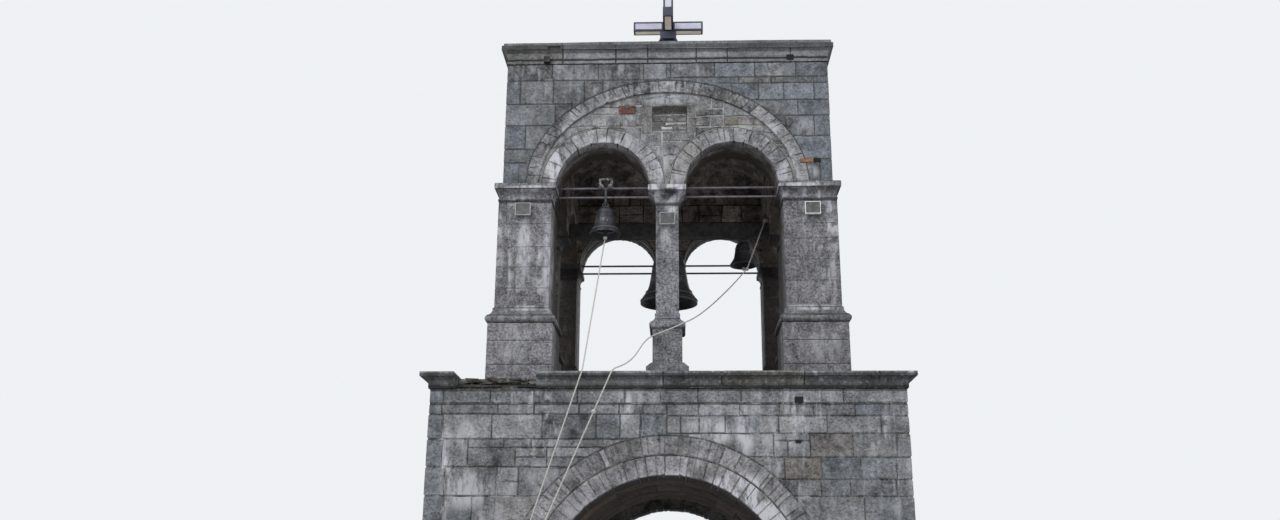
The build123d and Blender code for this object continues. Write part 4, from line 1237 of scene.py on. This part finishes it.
def piece_of(bm, name, material, slot):
    """Turns a mesh into a named, painted piece that rides on the tower."""
    mesh = bpy.data.meshes.new(name)
    bm.to_mesh(mesh)
    bm.free()
    piece = bpy.data.objects.new(name, mesh)
    bpy.context.scene.collection.objects.link(piece)
    paint_mesh(piece, material)
    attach(piece, BODY)


def set_stones(bm, random, name, material, slot, **options):
    """Raises the stones of a cut skin and makes them one piece."""
    raise_stones(bm, random, **options)
    piece_of(bm, name, material, slot)


def soften(bm, offset, segments):
    """Rounds every edge of some blocks."""
    bmesh.ops.bevel(
        bm, geom=bm.edges[:], offset=offset, affect="EDGES", segments=segments, profile=0.5,
        material=-1,
    )


def wall_patch(name, material, face, places):
    """Small blocks let into the face of a wall: left, right, foot and head of each."""
    bm = bmesh.new()
    front, back = face - PATCH_FRONT, face - PATCH_BACK
    for left, right, foot, head in places:
        middle = Vector((left + right, front + back, foot + head)) / 2
        size = Matrix.Diagonal((right - left, back - front, head - foot, 1))
        bmesh.ops.create_cube(bm, size=1, matrix=Matrix.Translation(middle) @ size)
    soften(bm, 0.004, 2)
    piece_of(bm, name, material, "schist_wall")


def farthest(middle):
    """Larger of a vector's X and Y, without their signs."""
    return max(abs(middle.x), abs(middle.y))


# Gate storey

class TOWER_OT_gate_walls(bpy.types.Operator):
    """Lays the coursed stones of the gate storey"""

    bl_idname = "tower.gate_walls"
    bl_label = "Gate Walls"

    def execute(self, context):
        random = Random(11)
        length = settings().stone_length
        nodes = ("gate_left_wall", "gate_right_wall", "gate_front_spandrel", "gate_back_spandrel")

        def seen(middle, normal):
            over_spring = middle.z > SPRING
            front_or_back = abs(normal.y) > FACING
            in_arch = over_spring and abs(middle.x) < SPANDREL_HALF and abs(normal.y) < FACING
            behind = over_spring and front_or_back and abs(abs(middle.y) - TOWER_HALF) > NEAR
            joins = abs(normal.x) > FACING and abs(abs(middle.x) - SPANDREL_HALF) < NEAR
            return not (in_arch or behind or joins or abs(normal.z) > FACING)

        bm = skin_of(nodes, seen)
        joint_at(bm, any_face, 0, 0)
        for sign, half in HALVES:
            heights = GATE_COURSES[sign]
            lay_beds(bm, heights, half)
            lay_given(bm, GATE_UPRIGHTS[sign], front_of(half))
            low = [height for height in (0, *heights) if height < GIVEN_FROM]
            lay_uprights(bm, low, front_of(half), length, random)
            lay_uprights(bm, (0, *heights, GATE_TOP), not_front(half), length, random)
        lay_splits(bm, GATE_SPLITS, front_of(any_face))
        set_stones(
            bm, random, "gate_stones", "gate_stone", "schist_wall", wander=0.005, tones=TONES,
        )
        paint_nodes("gate_mortar", *nodes)
        return {"FINISHED"}


class TOWER_OT_gate_rings(bpy.types.Operator):
    """Sets the voussoirs of the gate arches and the stones of the passage vault"""

    bl_idname = "tower.gate_rings"
    bl_label = "Gate Rings"

    def execute(self, context):
        random = Random(23)
        centre = (0, 0, SPRING)
        for ring, count in GATE_VOUSSOIRS:
            nodes = (f"gate_front_{ring}_ring", f"gate_back_{ring}_ring")

            def seen(middle, normal):
                inward = Vector((middle.x, 0, middle.z - SPRING)).dot(normal) < -0.5
                face = abs(normal.y) > FACING and abs(abs(middle.y) - TOWER_HALF) < NEAR
                return face or (ring == "inner" and inward)

            bm = skin_of(nodes, seen)
            lay_rays(bm, any_face, centre, count, random, 0.38)
            set_stones(
                bm, random, f"gate_{ring}_voussoirs", "ring_stone", "arch_stone", uneven=0.004,
                wander=0.004,
            )
            paint_nodes("pale_mortar", *nodes)

        def under(middle, normal):
            return normal.z < -0.05 or (abs(normal.y) > FACING and abs(middle.y) < 2.0)

        bm = skin_of(("passage_vault",), under)
        lay_rays(bm, any_face, centre, PASSAGE_STRIPS, random, 0.1)
        low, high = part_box("passage_vault")
        place = low.y + 0.5
        while place < high.y - 0.3:
            joint_at(bm, any_face, 1, place)
            place += random.uniform(0.5, 0.9)
        set_stones(
            bm, random, "passage_stones", "soffit_stone", "vault_stone", relief=0.006,
            wander=0.004,
        )
        paint_nodes("soffit_stone", "passage_vault", "belfry_floor")
        return {"FINISHED"}


class TOWER_OT_band_and_ledge(bpy.types.Operator):
    """Lays the band course and the moulded ledge over the gate storey"""

    bl_idname = "tower.band_and_ledge"
    bl_label = "Band and Ledge"

    def execute(self, context):
        random = Random(5)
        self.band(random)
        self.ledge(random)
        self.broken_end(random)
        self.loose_slabs(random)
        return {"FINISHED"}

    def band(self, random):
        """The course under the ledge, with dark plates of painted shadow in two hollows of the
        wall.
        """
        def outside(middle, normal):
            return abs(normal.z) < 0.5 and farthest(middle) > TOWER_HALF - NEAR

        bm = skin_of(("band_course",), outside)
        lay_given(bm, ((GATE_TOP, LEDGE_FOOT, BAND_UPRIGHTS),), front_of(any_face))
        lay_uprights(
            bm, (GATE_TOP, LEDGE_FOOT), not_front(any_face), settings().stone_length, random,
            quoin=(0.15, 0.4),
        )
        set_stones(bm, random, "band_stones", "gate_stone", "schist_wall", wander=0.003)
        paint_nodes("gate_mortar", "band_course")
        wall_patch("gate_hollows", "hollow_painted_shadow", -TOWER_HALF, GATE_HOLLOWS)

    def ledge(self, random):
        """The moulded blocks of the ledge."""
        nodes = ("ledge_front", "ledge_front_left", "ledge_right", "ledge_back", "ledge_left")

        def seen(middle, normal):
            inner = farthest(middle) < TOWER_HALF - LEDGE_DEPTH + NEAR
            bed = normal.z < -FACING and middle.z < LEDGE_FOOT + 0.005
            return not inner and not bed

        bm = skin_of(nodes, seen)
        lay_round(bm, LEDGE_JOINTS)
        set_stones(bm, random, "ledge_stones", "ledge_stone", "moulded_stone", **MOULDING_SETTING)
        paint_nodes("dark_mortar", *nodes)

    def broken_end(self, random):
        """Rough stones where the ledge's face has come away."""
        def broken(middle, normal):
            return normal.y < -0.1 or normal.z > FACING

        bm = skin_of(("ledge_rubble",), broken)
        joint = bm.edges.layers.int["joint"]
        for edge in bm.edges:
            edge[joint] = 1
        lay_rubble(bm, any_face, 0.012, random, tilt=0.3)
        set_stones(
            bm, random, "broken_rubble", "broken_stone", "rubble", relief=0.02, joint_width=0.02,
            uneven=0.012, wander=0.008,
        )
        paint_nodes("earth_mortar", "ledge_rubble")

    def loose_slabs(self, random):
        """Thin slabs that lie uneven on the broken part of the ledge."""
        low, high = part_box("ledge_rubble")
        bm = bmesh.new()
        tint = bm.loops.layers.color.new("stone")
        for number in range(LOOSE_SLABS):
            length = random.uniform(0.09, 0.26)
            place = Vector((
                random.uniform(low.x + length / 2, high.x - length / 2),
                low.y + random.uniform(0.06, 0.1) + 0.02,
                high.z - random.uniform(0.005, 0.055),
            ))
            tip = Matrix.Rotation(random.uniform(-0.05, 0.05), 4, "Y")
            turn = Matrix.Rotation(random.uniform(-0.3, 0.3), 4, "Z")
            depth, height = random.uniform(0.1, 0.17), random.uniform(0.01, 0.024)
            size = Matrix.Diagonal((length, depth, height, 1))
            shape = Matrix.Translation(place) @ (tip @ turn) @ size
            verts = bmesh.ops.create_cube(bm, size=1, matrix=shape)["verts"]
            for vert in verts:
                vert.co += anywhere(random, 0.007)
            faces = once(face for vert in verts for face in vert.link_faces)
            tint_faces(faces, tint, random_tone(random))
        soften(bm, 0.003, 1)
        piece_of(bm, "loose_slabs", "broken_stone", "rubble")


class TOWER_OT_piers(bpy.types.Operator):
    """Dresses the corner piers, their pedestals and the slim columns"""

    bl_idname = "tower.piers"
    bl_label = "Piers and Columns"

    def execute(self, context):
        random = Random(37)
        for end in ("front_left", "front_right", "back_left", "back_right"):
            shaft = PIER_COURSES[-1 if end.endswith("left") else 1]
            for part, heights, joint_width, uneven in (
                ("pedestal", (*PEDESTAL_COURSES, LEDGE_TOP + 0.7), 0.008, 0.002),
                ("pier", (*shaft, BELFRY_SPRING - 0.22), 0.006, 0.001),
            ):
                bm = skin_of((f"{part}_{end}",), lambda middle, normal: abs(normal.z) < 0.97)
                lay_beds(bm, heights, any_face)
                set_stones(
                    bm, random, f"{part}_stones_{end}", "pier_ashlar", "pier_stone",
                    relief=0.003, joint_width=joint_width, uneven=uneven, tones=PIER_TONES,
                )
            paint_nodes("dark_mortar", f"pedestal_{end}", f"pier_{end}")
        paint_nodes("column_stone", *(f"column_{side}" for side in SIDES))
        return {"FINISHED"}


class TOWER_OT_upper_walls(bpy.types.Operator):
    """Lays the walls over the belfry openings and the voussoirs of their arches"""

    bl_idname = "tower.upper_walls"
    bl_label = "Upper Walls"

    def execute(self, context):
        random = Random(71)
        walls = ["wall_head", *(f"upper_wall_{side}" for side in SIDES)]
        self.outer_face(random, walls)
        paint_nodes("wall_mortar", *walls)
        self.bricks()
        self.sunk_and_inner_faces(random, walls)
        for turn, side in enumerate(SIDES):
            self.arches(random, side, Matrix.Rotation(-turn * pi / 2, 3, "Z"))
        return {"FINISHED"}

    def outer_face(self, random, walls):
        """Coursed stones of the outer face."""
        def seen(middle, normal):
            return farthest(middle) > BELFRY_HALF - NEAR and abs(normal.z) < 0.5

        bm = skin_of(walls, seen)
        joint_at(bm, any_face, 0, 0)
        for sign, half in HALVES:
            heights = UPPER_COURSES[sign]
            lay_beds(bm, heights, half)
            lay_given(bm, UPPER_UPRIGHTS[sign], front_of(half))
            lay_uprights(
                bm, (BELFRY_SPRING, *heights, WALL_TOP), not_front(half),
                settings().stone_length, random, quoin=(0.2, 0.45),
            )
        set_stones(
            bm, random, "upper_stones", "upper_stone", "schist_wall", joint_width=0.01,
            wander=0.004, tones=TONES,
        )

    def bricks(self):
        """Two bricks that patch the wall, and dark plates of painted shadow in the hollows beside
        them and under the cornice.
        """
        wall_patch("red_patch", "red_brick", -BELFRY_HALF + 0.035, RED_BRICKS)
        wall_patch("orange_patch", "orange_brick", -BELFRY_HALF, ORANGE_BRICKS)
        wall_patch("wall_hollows", "hollow_painted_shadow", -BELFRY_HALF, WALL_HOLLOWS)

    def sunk_and_inner_faces(self, random, walls):
        """Rubble of the tympana and of the faces that look in on the bells."""
        def sunk(middle, normal):
            near = BELFRY_HALF - 0.05 < farthest(middle) < BELFRY_HALF - 0.02
            return near and farthest(normal) > FACING

        def inner(middle, normal):
            return farthest(middle) < INNER_HALF + NEAR and farthest(normal) > FACING

        bm = skin_of(walls, sunk)
        lay_splits(bm, TYMPANUM_SPLITS, front_of(any_face))
        lay_rubble(bm, any_face, 0.05, random)
        set_stones(
            bm, random, "tympanum_stones", "rubble_stone", "schist_wall", joint_width=0.024,
            relief=0.011, uneven=0.006, wander=0.007,
        )
        bm = skin_of(walls, inner)
        lay_beds(bm, INNER_COURSES, any_face)
        lay_rubble(bm, any_face, 0.09, random)
        set_stones(
            bm, random, "inner_stones", "back_wall_stone", "vault_stone", joint_width=0.02,
            relief=0.008, uneven=0.006, wander=0.006,
        )

    def arches(self, random, side, spin):
        """Voussoirs of one side's arches, laid as on the front and turned to their side."""
        def seen(middle, normal):
            local, facing = spin @ middle, spin @ normal
            front = facing.y < -FACING and local.y < -BELFRY_HALF + 0.05
            return front or (abs(facing.y) < 0.1 and facing.z < -0.05)

        def relieving(face):
            shares = (
                vert.co.x**2 / RELIEVING_HALF**2
                + (vert.co.z - BELFRY_SPRING) ** 2 / RELIEVING_RISE**2
                for vert in face.verts
            )
            return min(shares) > 1

        bm = skin_of((f"arch_rings_{side}",), seen)
        bmesh.ops.transform(bm, matrix=spin.to_4x4(), verts=bm.verts)
        lay_rays(bm, relieving, (0, 0, BELFRY_SPRING), RELIEVING_VOUSSOIRS, random, 0.35)
        for x in (-SMALL_ARCH_X, SMALL_ARCH_X):
            def small(face):
                return not relieving(face) and face.calc_center_median().x * x > 0

            lay_rays(bm, small, (x, 0, BELFRY_SPRING), SMALL_VOUSSOIRS, random, 0.35)
        raise_stones(bm, random, relief=0.007, joint_width=0.014, uneven=0.003, wander=0.006)
        bmesh.ops.transform(bm, matrix=spin.inverted().to_4x4(), verts=bm.verts)
        piece_of(bm, f"arch_voussoirs_{side}", "voussoir_stone", "arch_stone")
        paint_nodes("arch_mortar", f"arch_rings_{side}")


class TOWER_OT_niche(bpy.types.Operator):
    """Sets the stones of the square recess and of the frame round it"""

    bl_idname = "tower.niche"
    bl_label = "Niche"

    def execute(self, context):
        random = Random(47)
        low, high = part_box("niche_frame")
        left, right = low.x + NICHE_LEFT_POST, high.x - NICHE_RIGHT_POST

        def frame_seen(middle, normal):
            return middle.y < high.y - NEAR and abs(normal.z) < 0.99 or left < middle.x < right

        bm = skin_of(("niche_frame",), frame_seen)
        lintel_foot = high.z - NICHE_LINTEL
        lay_splits(bm, (("z", lintel_foot, -1, 1), ("z", 7.3, left - 0.12, left)), any_face)
        set_stones(
            bm, random, "niche_surround", "dressed_stone", "arch_stone", relief=0.002,
            joint_width=0.008, uneven=0.001, wander=0.002,
        )
        paint_nodes("pale_mortar", "niche_frame")

        def back(middle, normal):
            deep = -BELFRY_HALF + 0.15 < middle.y < -BELFRY_HALF + 0.25
            inside = left < middle.x < right and 7.1 < middle.z < 7.5
            return inside and deep and normal.y < -FACING

        bm = skin_of(("upper_wall_front",), back)
        lay_beds(bm, NICHE_COURSES, any_face)
        lay_rubble(bm, any_face, 0.02, random, long=3.5, tilt=0.06)
        set_stones(
            bm, random, "niche_stones", "recess_stone", "schist_wall", relief=0.014,
            joint_width=0.022, uneven=0.006, wander=0.006,
        )
        return {"FINISHED"}


class TOWER_OT_roof_and_vault(bpy.types.Operator):
    """Dresses the top cornice, the roof slabs and the vault over the bells"""

    bl_idname = "tower.roof_and_vault"
    bl_label = "Roof and Vault"

    def execute(self, context):
        random = Random(91)
        self.cornice(random)
        self.roof(random)
        paint_nodes("dark_mortar", "top_cornice", "roof")
        paint_nodes("slab_stone", "roof_cap")
        paint_nodes("vault_plaster", "belfry_vault")
        return {"FINISHED"}

    def cornice(self, random):
        """The moulded blocks of the top cornice."""
        def seen(middle, normal):
            bed = normal.z < -FACING and middle.z < WALL_TOP + 0.005
            return not bed and farthest(middle) >= INNER_HALF + NEAR

        bm = skin_of(("top_cornice",), seen)
        lay_round(bm, CORNICE_JOINTS)
        set_stones(
            bm, random, "cornice_stones", "cornice_stone", "moulded_stone", **MOULDING_SETTING,
        )

    def roof(self, random):
        """Rows of slabs up the four slopes."""
        foot = CORNICE_TOP + 0.04

        def slope(middle, normal):
            return 0.1 < normal.z < 0.99 or abs(normal.z) < 0.1 and middle.z < foot

        bm = skin_of(("roof",), slope)
        low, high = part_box("roof")
        heights = [foot + SLAB_ROW * number for number in range(1, 8)]
        lay_beds(bm, heights, any_face)
        for axis in (0, 1):
            for row_foot, row_head in zip([foot, *heights], [*heights, high.z]):
                def in_row(face):
                    level = row_foot < face.calc_center_median().z < row_head
                    return level and abs(face.normal[1 - axis]) > 0.05

                place = low.x + random.uniform(0.2, 0.5)
                while place < high.x - 0.2:
                    joint_at(bm, in_row, axis, place)
                    place += random.uniform(0.32, 0.6)
        set_stones(
            bm, random, "roof_slabs", "slab_stone", "roof_stone", relief=0.014,
            joint_width=0.01, uneven=0.005,
        )


class TOWER_OT_bells(bpy.types.Operator):
    """Finishes the bells, their beam and the iron that holds them"""

    bl_idname = "tower.bells"
    bl_label = "Bells and Iron"

    def execute(self, context):
        paint_nodes("cast_bronze", "left_bell", "right_bell", "great_bell")
        paint_nodes("black_iron", "clappers", "rope_irons", "cornice_bracket")
        paint_nodes("rod_iron", "tie_rods")
        paint_nodes("old_timber", "bell_beam")
        return {"FINISHED"}


class TOWER_OT_cross(bpy.types.Operator):
    """Finishes the light-box cross on the roof"""

    bl_idname = "tower.cross"
    bl_label = "Cross"

    def execute(self, context):
        paint_nodes("cross_paint", "cross_frame", "cross_stand")
        paint_nodes("cross_light", "cross_panels")
        top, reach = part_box("cross_frame")[1].z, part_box("cross_frame")[1].x
        centre = Vector((0, 0, top - reach))

        def outside(middle, normal):
            away = (middle - centre).dot(normal)
            on_end, on_side = away > reach - 0.003, 0.069 < away < 0.073
            return normal.z < FACING and (on_end or on_side)

        bm = skin_of(("cross_panels",), outside)
        # The short ends of the arms that reach to the front and the back stay blank
        rims = [
            face for face in bm.faces
            if abs(face.normal.y) <= FACING or face.calc_area() >= 0.02
        ]
        made = set(bmesh.ops.inset_individual(bm, faces=rims, thickness=0.018)["faces"])
        panes = [face for face in rims if face not in made]
        bmesh.ops.delete(bm, geom=panes, context="FACES_ONLY")
        bmesh.ops.solidify(bm, geom=bm.faces[:], thickness=-0.0015)
        piece_of(bm, "cross_rims", "cross_paint", "cross_metal")
        return {"FINISHED"}


class TOWER_OT_floodlights(bpy.types.Operator):
    """Finishes the small floodlights"""

    bl_idname = "tower.floodlights"
    bl_label = "Floodlights"

    def execute(self, context):
        paint_nodes("lamp_case", "floodlights")
        bm = skin_of(("floodlights",), lambda middle, normal: normal.y < -FACING)
        small = [face for face in bm.faces if face.calc_area() < 0.015]
        bmesh.ops.delete(bm, geom=small, context="FACES")
        bmesh.ops.inset_region(
            bm, faces=bm.faces[:], thickness=0.003, depth=0.003, use_boundary=True,
        )
        piece_of(bm, "lamp_panes", "lamp_glass", "lamp_metal")
        return {"FINISHED"}


# Bell ropes, in metres along the same points as their solids

ROPE_DIAMETER = 0.016
KNOT_HOLD = 0.016
LEFT_CLAPPER = (-0.765, -1.7, 5.846)
RIGHT_CLAPPER = (1.032, 0.13, 5.979)
LEFT_END = (-1.746, -2.675, 1.45)
RIGHT_END = (-1.69, -2.675, 1.45)
EYE = (1.332, -0.06, 6.621)
THREE_WAY_KNOT = (1.063, -0.12, 5.904)
LEFT_ROUTE = (LEFT_CLAPPER, (-0.92, -2.744, 4.003), LEFT_END)
RIGHT_ROUTE = (
    THREE_WAY_KNOT, (0.985, -0.293, 5.776), (0.908, -0.465, 5.650), (0.830, -0.638, 5.527),
    (0.752, -0.811, 5.407), (0.674, -0.984, 5.290), (0.596, -1.156, 5.176),
    (0.518, -1.329, 5.066), (0.441, -1.502, 4.962), (0.363, -1.675, 4.864),
    (0.285, -1.847, 4.776), (0.207, -2.020, 4.700), (0.010, -2.052, 4.602),
    (-0.188, -2.058, 4.528), (-0.262, -2.200, 4.428), (-0.306, -2.320, 4.328),
    (-0.352, -2.450, 4.221), (-0.412, -2.570, 4.127), (-0.495, -2.680, 4.052),
    (-0.590, -2.746, 4.006), RIGHT_END,
)


def toward(start, end, distance):
    """Point on the way from one place to another."""
    run = Vector(end) - Vector(start)
    return Vector(start) + run.normalized() * distance


def trimmed(*route):
    """Route that begins and ends inside the knots at its ends."""
    first = toward(route[0], route[1], KNOT_HOLD)
    last = toward(route[-1], route[-2], KNOT_HOLD)
    return [first, *[Vector(point) for point in route[1:-1]], last]


def halved(start, end):
    """Straight run with a point halfway."""
    return [start, (start + end) / 2, end]


def rope_curve(name, points):
    """Smooth rope along its points."""
    data = bpy.data.curves.new(name, "CURVE")
    data.dimensions = "3D"
    data.bevel_depth = ROPE_DIAMETER / 2
    data.bevel_resolution = 3
    data.resolution_u = 12
    data.use_fill_caps = True
    spline = data.splines.new("NURBS")
    spline.points.add(len(points) - 1)
    for number, point in enumerate(points):
        spline.points[number].co = (*point, 1)
    spline.order_u = 3
    spline.use_endpoint_u = True
    piece = bpy.data.objects.new(name, data)
    bpy.context.scene.collection.objects.link(piece)
    data.materials.append(bpy.data.materials["rope_fibre"])
    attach(piece, BODY)
    return piece


def run_length(points):
    """Length of the straight runs between points."""
    return sum((second - first).length for first, second in zip(points, points[1:]))


class TOWER_OT_ropes(bpy.types.Operator):
    """Hangs the bell ropes"""

    bl_idname = "tower.ropes"
    bl_label = "Bell Ropes"

    def execute(self, context):
        bend = 6 * ROPE_DIAMETER
        start, corner, end = trimmed(*LEFT_ROUTE)
        left = [start, toward(corner, start, bend), corner, toward(corner, end, bend), end]
        right = trimmed(*RIGHT_ROUTE)
        right.insert(-1, toward(right[-2], right[-1], bend))
        for name, node, points in (
            ("left_rope", "rope_left", left),
            ("upper_rope", "rope_upper", halved(*trimmed(EYE, THREE_WAY_KNOT))),
            ("clapper_tie", "rope_tie", halved(*trimmed(RIGHT_CLAPPER, THREE_WAY_KNOT))),
            ("right_rope", "rope_right", right),
        ):
            piece = rope_curve(name, points)
            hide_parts(node)
            tuple(points[0])
            run_length(points)
        paint_nodes("rope_fibre", "rope_knots")
        return {"FINISHED"}


# Stage

CAMERA_PLACE = (0.143, -14.753, 1.6)
CAMERA_PITCH = 0.2944
CAMERA_YAW = -0.0366
CAMERA_ROLL = 0.0053
FOCAL_PIXELS = 1119.0
IMAGE_WIDTH = 1280.0
FLOOR_HALF = 60
FLOOR_COLOUR = (0.55, 0.55, 0.55, 1)
SKY_LIGHT = {"Color": (0.93, 0.96, 1.0, 1), "Strength": 0.62}
BACKDROP = {"Color": (0.86, 0.88, 0.9, 1), "Strength": 1.0}
BACKDROP_RAYS = ("Is Glossy Ray", "Is Transmission Ray")
# Name, place, size and power of each area lamp; all of them point at the aim
LAMPS = (
    ("key", (-9, -16, 15), 12, 1500),
    ("fill", (13, -11, 9), 10, 500),
    ("back", (3, 16, 14), 12, 900),
)
LAMP_AIM = (0, 0, 5)


class TOWER_OT_stage(bpy.types.Operator):
    """Sets the floor, the soft light and the camera"""

    bl_idname = "tower.stage"
    bl_label = "Stage"

    def execute(self, context):
        scene = context.scene
        self.floor(scene)
        self.sky(scene)
        for lamp in LAMPS:
            self.lamp(scene, *lamp)
        self.camera(scene)
        scene.view_settings.view_transform = "Standard"
        return {"FINISHED"}

    def floor(self, scene):
        """Plain pale floor."""
        bm = bmesh.new()
        bmesh.ops.create_grid(bm, x_segments=1, y_segments=1, size=FLOOR_HALF)
        mesh = bpy.data.meshes.new("floor")
        bm.to_mesh(mesh)
        bm.free()
        floor = bpy.data.objects.new("floor", mesh)
        scene.collection.objects.link(floor)
        material, tree, shader = surface("floor_paint", 0.9)
        shader.inputs["Base Color"].default_value = FLOOR_COLOUR
        mesh.materials.append(material)

    def sky(self, scene):
        """Soft light from all round, and a pale backdrop behind the tower."""
        world = bpy.data.worlds.new("soft_sky")
        scene.world = world
        world.use_nodes = True
        tree = world.node_tree
        light = fill(tree, tree.nodes["Background"], SKY_LIGHT).outputs[0]
        backdrop = add(tree, "Background", BACKDROP).outputs[0]
        path = add(tree, "LightPath").outputs
        seen = path["Is Camera Ray"]
        for kind in BACKDROP_RAYS:
            seen = calc(tree, "MAXIMUM", seen, path[kind])
        blend = add(tree, "MixShader", {0: seen, 1: light, 2: backdrop})
        tree.links.new(blend.outputs[0], tree.nodes["World Output"].inputs["Surface"])

    def lamp(self, scene, name, place, size, power):
        """Large soft lamp."""
        data = bpy.data.lights.new(name, "AREA")
        data.size = size
        data.energy = power
        lamp = bpy.data.objects.new(name, data)
        lamp.location = place
        aim = Vector(LAMP_AIM) - Vector(place)
        lamp.rotation_euler = aim.to_track_quat("-Z", "Y").to_euler()
        scene.collection.objects.link(lamp)

    def camera(self, scene):
        """Camera at the photograph's place and angle."""
        data = bpy.data.cameras.new("camera")
        data.sensor_width = 36
        data.lens = FOCAL_PIXELS * data.sensor_width / IMAGE_WIDTH
        data.clip_end = 300
        camera = bpy.data.objects.new("camera", data)
        camera.location = CAMERA_PLACE
        yaw = Matrix.Rotation(-CAMERA_YAW, 4, "Z")
        pitch = Matrix.Rotation(pi / 2 + CAMERA_PITCH, 4, "X")
        roll = Matrix.Rotation(CAMERA_ROLL, 4, "Z")
        camera.rotation_euler = (yaw @ pitch @ roll).to_euler()
        scene.collection.objects.link(camera)
        scene.camera = camera


class TOWER_PT_stonework(bpy.types.Panel):
    """Buttons for each group of pieces"""

    bl_idname = "TOWER_PT_stonework"
    bl_label = "Bell Tower"
    bl_space_type = "VIEW_3D"
    bl_region_type = "UI"
    bl_category = "Tower"

    def draw(self, context):
        for name in TowerStoneSettings.__annotations__:
            self.layout.prop(context.scene.tower_stone, name)
        for operator in OPERATORS:
            self.layout.operator(operator.bl_idname)


OPERATORS = (
    TOWER_OT_stage,
    TOWER_OT_ropes,
    TOWER_OT_gate_walls,
    TOWER_OT_gate_rings,
    TOWER_OT_band_and_ledge,
    TOWER_OT_piers,
    TOWER_OT_upper_walls,
    TOWER_OT_niche,
    TOWER_OT_roof_and_vault,
    TOWER_OT_bells,
    TOWER_OT_cross,
    TOWER_OT_floodlights,
)
CLASSES = (TowerStoneSettings, *OPERATORS, TOWER_PT_stonework)


def register():
    """Adds the classes and the settings to the program."""
    for item in CLASSES:
        bpy.utils.register_class(item)
    bpy.types.Scene.tower_stone = bpy.props.PointerProperty(type=TowerStoneSettings)


def unregister():
    """Takes the settings and the classes out again."""
    del bpy.types.Scene.tower_stone
    for item in reversed(CLASSES):
        bpy.utils.unregister_class(item)


def main():
    """Builds every piece."""
    register()
    make_materials()
    for operator in OPERATORS:
        group, name = operator.bl_idname.split(".")
        getattr(getattr(bpy.ops, group), name)()
    bpy.context.view_layer.update()
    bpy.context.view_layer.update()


if __name__ == "__main__":
    main()
